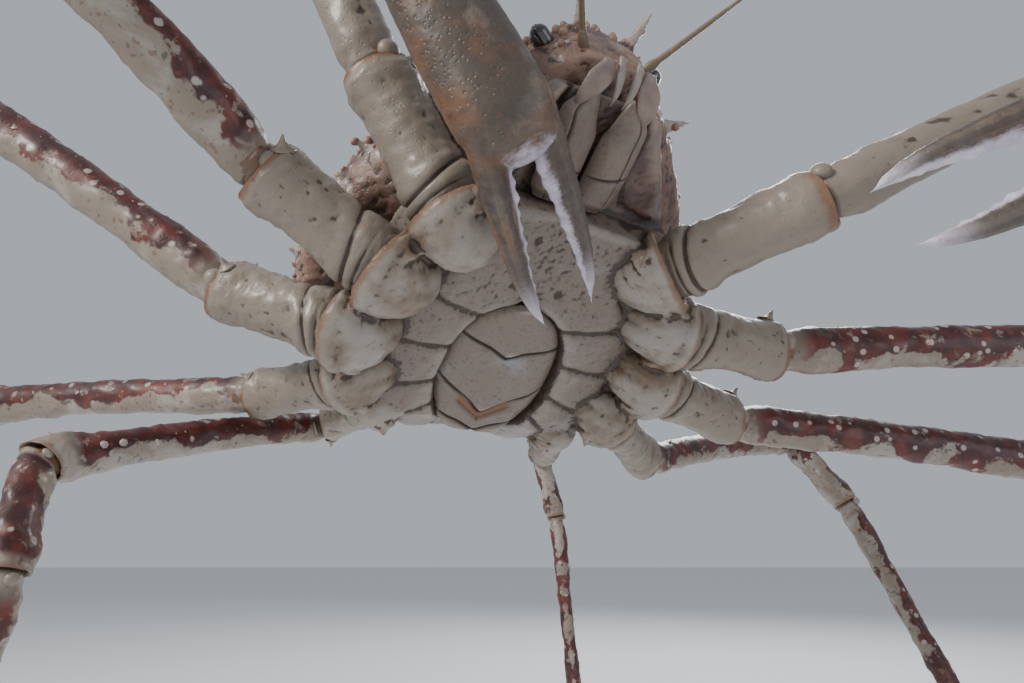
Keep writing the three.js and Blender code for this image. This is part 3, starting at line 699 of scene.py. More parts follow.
def carapace_rings():
    y = np.concatenate([[111.4, 110.4], np.linspace(108.6, -202, 150)])
    wide = half_width(y)
    top = back_height(y)
    angle = np.linspace(0, math.pi, 150)
    x = wide[:, None] * np.sign(np.cos(angle)) * np.abs(np.cos(angle)) ** 0.85
    z = RIM_Z + (top[:, None] - RIM_Z) * np.sin(angle) ** 0.9
    below = np.linspace(0, 1, 26)[1:]
    share = smooth_values(((0, 1), (0.45, 0.96), (1, 0.76)), below)
    drop = smooth_values(((0, RIM_Z), (0.45, RIM_Z - 12), (1, SPLIT_Z + GAP / MM)), below)
    left = -wide[:, None] * share
    across = np.linspace(-0.74, 0.74, 24)
    x = np.hstack([x, left, wide[:, None] * across, -left[:, ::-1]])
    flat = np.full((len(y), 24), SPLIT_Z + GAP / MM)
    z = np.hstack([z, np.tile(drop, (len(y), 1)), flat, np.tile(drop[::-1], (len(y), 1))])
    yy = np.tile(y[:, None], (1, x.shape[1]))
    above = np.clip((z - RIM_Z) / 14, 0, 1)
    lift = np.zeros_like(x)
    for cx, cy, rx, ry, height in BACK_REGIONS:
        lift += height * np.exp(-((x - cx) / rx) ** 2 - ((yy - cy) / ry) ** 2)
    furrow = nearest_line(x, yy, BACK_FURROWS)
    lift -= 5.0 * np.exp(-(furrow / 6.0) ** 2)
    z = z + lift * above * 0.8
    groove = np.exp(-(furrow / 4.0) ** 2) * above
    rings = np.stack([x, yy, z], 2)
    snout = []
    for share, reach in ((0.94, 1.6), (0.84, 3.6), (0.66, 5.6), (0.42, 7.0), (0.18, 7.6)):
        middle = np.array([0.0, rings[-1, 0, 1], 72.0])
        ring = middle + (rings[-1] - middle) * share
        ring[:, 1] -= reach
        snout.append(ring)
    return np.concatenate([rings, snout]), lengthened(above, len(snout)), lengthened(groove, len(snout))


def thorns_of_carapace():
    """Root, direction, length and radius of each large thorn, in the body frame (mm)."""
    out = []
    for sign in (-1, 1):
        out.append(((sign * 14, FRONT_Y + 10, 70), (sign * 0.35, -1, 0.25), 46, 8))
        out.append(((sign * 40, -178, 82), (sign * 0.8, -0.5, 0.5), 26, 7))
        out.append(((sign * 52, -164, RIM_Z + 2), (sign, -0.5, 0.05), 36, 11))
        for i in range(6):
            y = -92 + i * 30
            out.append(((sign * (float(half_width(y)) - 5), y, RIM_Z + 6), (sign, -0.25, 0.25), 20 - i, 7))
        for i in range(34):
            y = -198 + i * 8.6
            wide = float(half_width(y))
            height = 3.5 + 3.5 * ((i * 7) % 5) / 4
            root = (sign * (wide - 1.5), y, RIM_Z + 5 * ((i * 3) % 4) - 5)
            out.append((root, (sign, -0.4, 0.3 - 0.2 * (i % 3)), height, 2.4))
    state = 11
    for i in range(60):
        draws = []
        for _ in range(2):
            state = (state * 1664525 + 1013904223) % 4294967296
            draws.append(state / 4294967296)
        y = -160 + 254 * ((i + 0.5) / 60)
        side = ((2 * i) % 5 - 2) * 0.37 + 0.14 * (draws[0] - 0.5)
        x = side * float(half_width(y))
        z = RIM_Z + (float(back_height(y)) - RIM_Z) * math.sqrt(1 - side * side)
        out.append(((x, y, z), (side, -0.15, 1), 9 + 7 * draws[1], 4.2))
    return out


def build_carapace(looks):
    rings, above, groove = carapace_rings()
    skin = Skin()
    skin.add_rings(roughen(in_world(rings), 0.0004), above=above, groove=groove, spur=0.0)
    for root, direction, length, radius in thorns_of_carapace():
        skin.add_rings(thorn_points(in_world(root), turned(direction), length * MM, radius * MM, 14),
                       above=0.5, spur=1.0)
    piece = fused_piece("carapace_shell", skin, looks["carapace"], 0.002, 1, 0.00035)
    finish_piece(piece, "carapace_shell", "carapace")
    return piece


# Seams between the plates of the underside, |x| and y in the body frame (mm).
PLATE_SEAMS = (
    ((26, -23.6), (106, -50)), ((42, 2.3), (113, 4.4)), ((44, 32.5), (106, 53)),
    ((40, 55.6), (84, 86)), ((78, -48), (60, -64), (50, -86)),
)
FAINT_SEAMS = (((10, -59), (34, -55), (57, -42)),)
PITS = ((17, -54), (14, -90), (70, -40), (88, 14), (82, 58))
FLANK_SEAMS = (((41, -121), (33, -143), (33, -166), (27, -188), (20, -204)), ((40, -121), (96, -112)))
FLANK_EDGE = ((113, 143, 166, 188, 204), (40, 33, 33, 27, 20))
TAIL_WIDTH = ((-39, 5), (-36, 14), (-30, 25), (-20, 34), (-6, 40.5), (10, 43.5), (28, 44.5),
              (46, 42), (60, 37), (72, 31), (80, 24))


def tail_width(y):
    return smooth_values(TAIL_WIDTH, np.asarray(y, float))


def underside_rings():
    y = np.concatenate([np.linspace(100, -109, 190), [-110.5, -112, -113.2], np.linspace(-115, -184, 60)])
    rows = []
    for place in y:
        wide = float(half_width(place)) * 0.76
        floor_wide = min(wide * 0.9, 62 - 18 * min(1, max(0, (place - 20) / 80)))
        floor = -6.0 if place > -112 else MOUTH_Z
        low = floor + 24 * min(1, max(0, (place - 66) / 34))
        keys = ((0, low + 11), (0.4 * floor_wide, low + 7), (floor_wide, low),
                (wide * 0.94, low + 8), (wide, SPLIT_Z))
        x = wide * np.sin(np.linspace(-math.pi / 2, math.pi / 2, 200))
        z = smooth_values(keys, np.abs(x))
        x = np.concatenate([x, np.linspace(wide, -wide, 22)[1:-1]])
        z = np.concatenate([z, np.full(20, SPLIT_Z)])
        rows.append(np.stack([x, np.full_like(x, place), z], 1))
    rings = np.array(rows)
    x, yy, z = rings[..., 0], rings[..., 1], rings[..., 2]
    under = np.clip((SPLIT_Z - 4 - z) / 6, 0, 1)
    body = under * (yy > -110)
    seam = nearest_line(x, yy, PLATE_SEAMS)
    faint = nearest_line(x, yy, FAINT_SEAMS)
    flank = nearest_line(x, yy, FLANK_SEAMS)
    pit = np.full_like(x, 1e9)
    for px, py in PITS:
        pit = np.minimum(pit, np.hypot(np.abs(x) - px, yy - py))
    plate = np.exp(-(seam / 1.7) ** 2) * body
    line = 0.4 * np.exp(-(faint / 1.2) ** 2) * body
    hole = np.exp(-(pit / 3.2) ** 2) * body
    fold = np.exp(-(flank / 2.0) ** 2) * under * (yy < -112)
    away = np.abs(x) - tail_width(np.clip(yy, -39, 80))
    along = (yy > -41) & (yy < 84)
    moat = np.exp(-(np.clip(away, -1, 99) / 2.4) ** 2) * along * body
    inside = np.clip(-away / 1.5, 0, 1) * along
    swell = np.clip(np.minimum(seam, np.maximum(away, 0) + 2) / 15, 0, 1) ** 0.5
    lift = 3.6 * plate + 1.6 * line + 3.0 * hole + 3.0 * moat + 2.6 * fold - 2.4 * swell * body
    rings[..., 2] = z + lift * (1 - inside) + inside * np.maximum(0, 9.5 - z)
    groove = np.clip(plate + line + 0.9 * hole + moat + fold, 0, 1)
    # Painted shade: the groove value is raised in a strip behind the cleft between the mouth plates and along
    # the front corner of the thorax at its side.
    gap = nearest_line(x, yy, (((50, -114), (112, -108)),))
    cleft = (yy < -148) * under * np.clip((13 - np.abs(x)) / 4, 0, 1)
    cleft = np.maximum(cleft, np.exp(-(gap / 8.0) ** 2) * (z > 2) * (yy < -100))
    outer = under * (yy < -113) * np.clip((np.abs(x) - np.interp(-yy, *FLANK_EDGE)) / 3, 0, 1)
    return rings, np.maximum(groove, cleft), np.maximum(outer, (1 - under) * (yy < -100))


def hip_path(side, pair):
    hip, _, radii = LIMBS[pair]
    joints = limb_joints(side, pair)
    aim = unit(joints[1] - joints[0])
    sign = 1 if side == "left" else -1
    radius = radii[0] * MM
    root = in_world((sign * hip[0] * 0.78, hip[1] * 0.9, 12))
    return root, joints[0] - aim * radius * 0.75, joints[0], aim, radius


# Long folds of a hip: angle from its lower side, how far the fold turns, depth as a share of the radius.
HIP_FOLDS = ((-1.35, 0.9, 0.07), (1.05, -0.9, 0.08), (-0.35, 0.6, 0.05), (0.3, -0.5, 0.035))
HIP_SWELL = ((0, 0.66), (0.35, 0.8), (0.62, 0.93), (0.84, 1.07), (0.95, 1.12), (1, 1.06))


def hip_rings(side, pair, around=84):
    """A hip: a short bent cone with long folds that flares into a thin-lipped cup."""
    root, bend, end, aim, radius = hip_path(side, pair)
    end = end + aim * 0.1 * radius
    parts = np.linspace(0, 1, 56)
    stations = [(p, float(s), 0.0, max(0.0, (p - 0.9) / 0.1), 0.0)
                for p, s in zip(parts, smooth_values(HIP_SWELL, parts))]
    stations += [(1.0, 1.05, 0.04, 1.0, 0.0), (1.0, 0.99, 0.05, 1.0, 0.0), (1.0, 0.95, 0.0, 0.9, 0.3),
                 (1.0, 0.9, -0.16, 0.3, 0.9), (1.0, 0.84, -0.4, 0.0, 1.0), (1.0, 0.5, -0.55, 0.0, 1.0)]
    down = turned((0.0, 0.0, -1.0))
    rows, rim, deep, groove = [], [], [], []
    angle = np.linspace(0, 2 * math.pi, around, endpoint=False)
    for part, share, shift, edge, inside in stations:
        centre = (1 - part) ** 2 * root + 2 * part * (1 - part) * bend + part ** 2 * end
        tangent = aim if part == 1 else unit((1 - part) * (bend - root) + part * (end - bend))
        u, v = upright_pair(tangent, down)
        open_part = 1 - edge
        fold = np.zeros(around)
        for turn, bow, size in HIP_FOLDS:
            away = np.angle(np.exp(1j * (angle - turn - bow * (part - 0.5))))
            fold += size * np.exp(-(away / (0.1 + 0.12 * part)) ** 2) * min(1, (1 - part) * 1.7) * open_part
        lip = 0.025 * math.exp(-((part - 0.86) / 0.035) ** 2) * open_part
        swell = 1 + 0.03 * np.cos(2 * angle + pair) * open_part
        ring = centre + tangent * shift * radius + (radius * share * (swell - fold - lip))[:, None] * (
            np.cos(angle)[:, None] * u + np.sin(angle)[:, None] * v)
        rows.append(ring)
        rim.append(np.full(around, edge))
        deep.append(np.full(around, inside))
        # Painted shade: the groove value is raised near the root of the hip, where it meets the body.
        foot = 0.65 * math.exp(-(part / 0.3) ** 2)
        groove.append(np.clip(0.55 * fold / 0.08 + foot, 0, 0.8))
    return np.array(rows), np.array(rim), np.array(deep), np.array(groove)


def build_underside(looks):
    rings, groove, flank = underside_rings()
    skin = Skin()
    skin.add_rings(in_world(rings), groove=groove, flank=flank, rim=0.0, deep=0.0, hip=0.0)
    for side in ("left", "right"):
        for pair in LIMBS:
            rows, rim, deep, fold = hip_rings(side, pair)
            skin.add_rings(rows, groove=fold, rim=rim, deep=deep, hip=1.0)
            _, _, cup, aim, radius = hip_path(side, pair)
            for way in (1, -1):
                out = turned((0, way, -0.3))
                out = unit(out - aim * out.dot(aim))
                root = cup + out * radius * 0.92 - aim * 0.004
                length = radius * (0.4 + 0.08 * way)
                rings = thorn_points(root, out + 0.4 * aim, length, radius * 0.27, 14)
                skin.add_rings(rings, rim=0.6, hip=1.0)
    piece = fused_piece("underside_shell", skin, looks["underside"], 0.0017, 1, 0.0002)
    finish_piece(piece, "underside_shell", "thorax")


# Seams across the tail plate: y on the middle line and slope with |x|.
TAIL_SEAMS = ((4, -0.32), (59, -0.65), (77, -0.3))


def build_pleon(looks):
    """The folded tail plate under the body: raised segments between bent seams."""
    y = np.linspace(-38.9, 79.5, 190)
    rows, grooves, bands = [], [], []
    for place, w in zip(y, tail_width(y)):
        x = w * np.sin(np.linspace(-math.pi / 2, math.pi / 2, 120))
        share = np.abs(x) / w
        crown = np.sqrt(np.maximum(0, 1 - share ** 5))
        z = 8.5 - 9.5 * crown - 1.0 * np.exp(-(x / 13) ** 2)
        groove = np.zeros_like(x)
        nearest = np.full_like(x, 99.0)
        for middle, slope in TAIL_SEAMS:
            seam_y = middle + slope * np.abs(x) + 1.6 * np.cos(x / 7.0) * np.exp(-(x / 16) ** 2)
            away = place - seam_y
            groove = np.maximum(groove, np.exp(-(away / 1.4) ** 2))
            nearest = np.minimum(nearest, np.abs(away))
        band_y = place - (59 - 0.65 * np.abs(x))
        band = np.clip(band_y / 1.5, 0, 1) * np.clip((10 - band_y) / 3, 0, 1)
        band *= np.clip((27 - np.abs(x)) / 8, 0, 1)
        z = z + (2.8 * groove + 2.2 * band - 1.3 * np.clip(nearest / 14, 0, 1) ** 0.6) * crown
        xx = np.concatenate([x, np.linspace(w, -w, 14)[1:-1]])
        zz = np.concatenate([z, np.full(12, 11.0)])
        rows.append(np.stack([xx, np.full_like(xx, place), zz], 1))
        edge = np.clip((share - 0.965) / 0.02, 0, 1)
        grooves.append(np.concatenate([np.maximum(groove, edge), np.ones(12)]))
        bands.append(np.concatenate([band, np.zeros(12)]))
    skin = Skin()
    skin.add_rings(roughen(in_world(rows), 0.00015), groove=np.array(grooves), flank=0.0,
                   rim=np.array(bands), deep=0.0, hip=0.0)
    piece = plain_piece("pleon_plate", skin, looks["underside"])
    finish_piece(piece, "underside_shell", "pleon")


# Each mouthpart's inner and outer edge and lowest face along the body (mm).
MOUTH_INNER = ((-190, 11), (-184, 9), (-172, 5.5), (-160, 1.6), (-113, 1.2))
MOUTH_OUTER = ((-190, 13), (-184, 22), (-172, 31), (-158, 31.5), (-138, 31), (-122, 30), (-113, 25))
PALP_WIDTH = ((0, 2.0), (0.3, 2.8), (0.7, 2.0), (1, 0.4))
LEAF_WIDTH = ((0, 4), (0.3, 8), (0.6, 6.5), (1, 1.0))
MOUTH_LOW = ((-190, 17), (-180, 14), (-165, 10), (-138, 7), (-122, 9), (-113, 16))


def build_mouthparts(looks):
    """Two long plates with a cleft between them, darkened by painted shade on the underside behind it,
    slender palps and a leaf beside each.
    """
    for side, sign in (("left", 1), ("right", -1)):
        y = np.linspace(-113.5, -189.5, 120)
        rows, grooves = [], []
        for place, inner, outer, floor in zip(
                y, smooth_values(MOUTH_INNER, y), smooth_values(MOUTH_OUTER, y), smooth_values(MOUTH_LOW, y)):
            share = 0.5 - 0.5 * np.cos(np.linspace(0, math.pi, 60))
            x = sign * (inner + (outer - inner) * share)
            crown = np.sin(math.pi * np.clip(share, 0, 1)) ** 0.45
            joint = np.exp(-((place + 137 + 7 * share) / 1.1) ** 2)
            line = np.exp(-((share - 0.7) / 0.025) ** 2) * (0.4 + 0.6 * (place < -140)) + joint
            z = MOUTH_Z - GAP / MM - (MOUTH_Z - floor) * crown + 1.8 * np.clip(line, 0, 1) * crown
            xx = np.concatenate([x, sign * np.linspace(outer, inner, 14)[1:-1]])
            zz = np.concatenate([z, np.full(12, MOUTH_Z - GAP / MM)])
            rows.append(np.stack([xx, np.full_like(xx, place), zz], 1))
            rough_edge = np.clip((np.abs(share - 0.5) - 0.485) / 0.012, 0, 1)
            grooves.append(np.concatenate([np.clip(line * crown + rough_edge, 0, 1), np.ones(12)]))
        skin = Skin()
        skin.add_rings(in_world(rows), groove=np.array(grooves), flank=0.3, rim=0.0, deep=0.0, hip=0.0)
        palp = []
        for part in np.linspace(0, 1, 24):
            centre = (sign * (6.5 - 2.5 * part), -210 + 27 * part, 21 - 9 * math.sin(part * 2.2))
            palp.append(circle(np.array(centre), profile_at(PALP_WIDTH, part), ACROSS, UP, 20))
        skin.add_rings(in_world(palp), flank=0.25)
        leaf = []
        for part in np.linspace(0, 1, 40):
            centre = (sign * (14 + 11 * part), -207 + 34 * part, 19 - 5 * math.sin(part * math.pi))
            leaf.append(circle(np.array(centre), 1.0, ACROSS * profile_at(LEAF_WIDTH, part), UP * 2.6, 28))
        skin.add_rings(in_world(leaf), groove=0.3, flank=1.0)
        piece = plain_piece(f"maxilliped_{side}_plate", skin, looks["underside"])
        finish_piece(piece, "underside_shell", f"maxilliped_{side}")


# Root, direction and length in the body frame, and the radius along the length (mm).
EYE = ((27, -186, 66), (0.82, -0.55, 0.2), 26,
       ((0, 4.5), (0.3, 4.6), (0.55, 6.6), (0.8, 6.4), (0.94, 4.2), (1, 1.6)))
ANTENNA = ((16, -192, 46), (0.5, -0.86, -0.1), 96, ((0, 3.6), (0.2, 3.4), (0.24, 2.2), (0.6, 1.6), (1, 0.8)))


def build_face(looks):
    for side, sign in (("left", 1), ("right", -1)):
        for name, kind, slot in (("eye", EYE, "eye"), ("antenna", ANTENNA, "pale_shell")):
            root, aim, length, profile = kind
            start = in_world((sign * root[0], root[1], root[2]))
            aim = turned((sign * aim[0], aim[1], aim[2]))
            rings, values = segment_rings(start, start + aim * length * MM, aim, aim,
                                          profile, MM, 1.0, 0.0, UP,
                                          stations=50, around=28, cup=0.0, ball=0.0)
            skin = Skin()
            skin.add_rings(rings, **values)
            piece = plain_piece(f"{name}_{side}_piece", skin, looks[name])
            finish_piece(piece, slot, f"{name}_{side}")


# ------------------------------------------------------------------ finishes
# Colours that lie over the ground colours, as linear red, green and blue.
# Painted shade laid into creases and hollows by the hollow-shade step of each finish.
HOLLOW_SHADE_COLOUR = (0.05, 0.032, 0.024)
WORN_SHELL = (0.47, 0.42, 0.37)
# Dark grooves and seams, and painted shade where the groove value carries it.
GROOVE_DARK_AND_SHADE = (0.05, 0.028, 0.02)
CUP_BROWN = (0.07, 0.03, 0.02)
RUST_BLOT = (0.22, 0.11, 0.06)
# Painted shade on the lower side of the limb segments.
LOWER_SHADE = (0.15, 0.105, 0.07)
BAND_GLOW = (0.15, 0.022, 0.012)
SPECK_RED = (0.16, 0.05, 0.035)
TIP_BROWN = (0.06, 0.03, 0.022)
HAND_STAINS = ((0.075, 0.055, 0.042), (0.16, 0.07, 0.035))
HAND_ORANGE = (0.24, 0.10, 0.038)
HAND_MOTTLE = (0.06, 0.035, 0.028)
HAND_CLOUD = (0.34, 0.27, 0.22)
HAND_STREAK = (0.04, 0.022, 0.02)
HAND_WORN = (0.38, 0.33, 0.28)
TOOTH_COLOURS = ((0.56, 0.50, 0.62), (0.74, 0.70, 0.76))
UNDER_STAINS = ((0.21, 0.165, 0.135), (0.06, 0.04, 0.04))
FRECKLE = (0.17, 0.10, 0.09)
HIP_STAIN = (0.17, 0.115, 0.07)
HIP_BLOT = (0.13, 0.07, 0.045)
FLANK_COLOURS = ((0.12, 0.065, 0.06), (0.27, 0.175, 0.14))
BACK_STAINS = ((0.13, 0.055, 0.05), (0.06, 0.03, 0.03))
BACK_ORANGE = (0.40, 0.20, 0.10)
MARGIN_COLOURS = ((0.15, 0.075, 0.06), (0.30, 0.19, 0.14))
FURROW_BROWN = (0.05, 0.025, 0.02)
BACK_WORN = (0.42, 0.25, 0.17)
TUBERCLE_COLOURS = ((0.46, 0.35, 0.29), (0.33, 0.20, 0.14), (0.14, 0.07, 0.05))
SLEEVE_COLOURS = ((0.085, 0.04, 0.026), (0.16, 0.085, 0.045), (0.03, 0.02, 0.015))
EYE_COLOURS = ((0.012, 0.010, 0.012), (0.03, 0.02, 0.02), (0.05, 0.03, 0.03))


def new_tree(name, kind, inputs, outputs):
    """A node group with named sockets, and with it the sockets inside and the output node."""
    tree = bpy.data.node_groups.new(name, kind)
    for label, socket, value in inputs:
        item = tree.interface.new_socket(name=label, in_out="INPUT", socket_type="NodeSocket" + socket)
        if value is not None:
            item.default_value = value
    for label, socket in outputs:
        tree.interface.new_socket(name=label, in_out="OUTPUT", socket_type="NodeSocket" + socket)
    return tree, tree.nodes.new("NodeGroupInput").outputs, tree.nodes.new("NodeGroupOutput").inputs


def feed(tree, socket, value):
    """Links the value if it is a socket, and otherwise sets it."""
    if isinstance(value, bpy.types.NodeSocket):
        tree.links.new(value, socket)
    else:
        socket.default_value = value


def add_node(tree, kind, inputs=None, **settings):
    made = tree.nodes.new(kind)
    for key, value in settings.items():
        setattr(made, key, value)
    for key, value in (inputs or {}).items():
        feed(tree, made.inputs[key], value)
    return made


def maths(tree, operation, a, b):
    return add_node(tree, "ShaderNodeMath", {0: a, 1: b}, operation=operation).outputs[0]


def noise(tree, scale, detail=4.0, rough=0.55, **inputs):
    place = add_node(tree, "ShaderNodeTexCoord").outputs["Object"]
    values = {"Vector": place, "Scale": scale, "Detail": detail, "Roughness": rough, **inputs}
    return add_node(tree, "ShaderNodeTexNoise", values).outputs["Fac"]


def cells(tree, scale):
    place = add_node(tree, "ShaderNodeTexCoord").outputs["Object"]
    return add_node(tree, "ShaderNodeTexVoronoi", {"Vector": place, "Scale": scale}).outputs["Distance"]


def mapped(tree, value, kind="LINEAR", **reach):
    """The value moved from one reach to another, both 0 to 1 unless given."""
    names = {"low": "From Min", "high": "From Max", "least": "To Min", "most": "To Max"}
    inputs = {"Value": value, **{names[key]: number for key, number in reach.items()}}
    return add_node(tree, "ShaderNodeMapRange", inputs, interpolation_type=kind).outputs["Result"]


def mixed(tree, factor, a, b):
    a, b = ((*color, 1) if isinstance(color, tuple) else color for color in (a, b))
    mix = add_node(tree, "ShaderNodeMix", {"Factor": factor, "A": a, "B": b}, data_type="RGBA")
    return mix.outputs["Result"]


def stain_group():
    """Blotches and specks laid over a ground colour."""
    tree, given, result = new_tree(
        "shell_stain", "ShaderNodeTree",
        (("Ground", "Color", (0.7, 0.7, 0.7, 1)), ("Stain", "Color", (0.3, 0.2, 0.1, 1)),
         ("Speck", "Color", (0.1, 0.05, 0.05, 1)), ("Amount", "Float", 0.5), ("Scale", "Float", 30.0)),
        (("Color", "Color"), ("Roughness", "Float")))
    clouds = noise(tree, given["Scale"], 8.0, 0.62, Distortion=0.6)
    high = maths(tree, "SUBTRACT", 0.95, given["Amount"])
    low = maths(tree, "SUBTRACT", high, 0.16)
    blotch = mapped(tree, clouds, "SMOOTHSTEP", low=low, high=high)
    color = mixed(tree, blotch, given["Ground"], given["Stain"])
    specks = mapped(tree, noise(tree, 420.0, 3.0, 0.5), low=0.6, high=0.72)
    color = mixed(tree, maths(tree, "MULTIPLY", specks, 0.6), color, given["Speck"])
    feed(tree, result["Color"], color)
    feed(tree, result["Roughness"], mapped(tree, clouds, least=0.34, most=0.66))
    return tree


def grain_group():
    """Fine relief of the shell: pores, small dimples and shallow waves."""
    tree, given, result = new_tree(
        "shell_grain", "ShaderNodeTree", (("Pores", "Float", 0.5), ("Waves", "Float", 0.5)),
        (("Height", "Float"),))
    pores = maths(tree, "MULTIPLY", mapped(tree, cells(tree, 330.0), high=0.35), given["Pores"])
    waves = maths(tree, "MULTIPLY", noise(tree, 140.0, 6.0, 0.5), given["Waves"])
    feed(tree, result["Height"], maths(tree, "ADD", pores, waves))
    return tree


class Finish:
    """A shell material under construction, with short calls for the layers it needs."""

    def __init__(self, name, groups, coat=0.25):
        self.material = bpy.data.materials.new(name)
        self.material.use_nodes = True
        self.tree = self.material.node_tree
        self.groups = groups
        self.set("Coat Weight", coat)
        self.set("Coat Roughness", 0.22)
        self.set("IOR", 1.5)

    def set(self, name, value):
        feed(self.tree, self.tree.nodes["Principled BSDF"].inputs[name], value)

    def stained(self, ground, stain, speck, amount, scale):
        inputs = {"Ground": (*ground, 1), "Stain": (*stain, 1), "Speck": (*speck, 1),
                  "Amount": amount, "Scale": scale}
        made = add_node(self.tree, "ShaderNodeGroup", inputs, node_tree=self.groups["stain"])
        return made.outputs["Color"], made.outputs["Roughness"]

    def value(self, name):
        return add_node(self.tree, "ShaderNodeAttribute", attribute_name=name).outputs["Fac"]

    def ramp(self, value, low, high):
        return mapped(self.tree, value, "SMOOTHSTEP", low=low, high=high)

    def times(self, a, b):
        return maths(self.tree, "MULTIPLY", a, b)

    def plus(self, a, b):
        return maths(self.tree, "ADD", a, b)

    def one_less(self, value):
        return maths(self.tree, "SUBTRACT", 1.0, value)

    def mix(self, factor, a, b):
        return mixed(self.tree, factor, a, b)

    def clouds(self, scale, detail, rough, low, high, share=1.0):
        """Smooth-edged clouds of noise as a mask."""
        mask = self.ramp(noise(self.tree, scale, detail, rough), low, high)
        return mask if share == 1.0 else self.times(mask, share)

    def wander(self, value, scale, detail, amount):
        """The value with noise added, so that its edge wanders."""
        even = maths(self.tree, "SUBTRACT", noise(self.tree, scale, detail), 0.5)
        return self.plus(value, self.times(even, amount))

    def with_hollow_shade(self, color, worn=WORN_SHELL, amount=0.9):
        """Painted shade in creases and hollows, and paler worn crests."""
        crease = self.ramp(self.value("crease"), 0.06, 0.65)
        hollow = self.ramp(self.wander(self.value("hollow"), 70.0, 6.0, 0.9), 0.08, 0.8)
        # Painted shade: darker the deeper a point lies in a narrow crease or a wide hollow.
        shade_mask = maths(self.tree, "MAXIMUM", crease, self.times(hollow, 0.72))
        crest = self.times(self.ramp(self.times(self.value("hollow"), -1.0), 0.15, 0.8), 0.3)
        return self.mix(self.times(shade_mask, amount), self.mix(crest, color, worn), HOLLOW_SHADE_COLOUR)

    def done(self, color, rough, pores=0.5, waves=0.6, bump=0.5, distance=0.0006):
        self.set("Base Color", color)
        self.set("Roughness", rough)
        grain = add_node(self.tree, "ShaderNodeGroup", {"Pores": pores, "Waves": waves},
                         node_tree=self.groups["grain"])
        relief = {"Strength": bump, "Distance": distance, "Height": grain.outputs["Height"]}
        self.set("Normal", add_node(self.tree, "ShaderNodeBump", relief).outputs["Normal"])
        return self.material


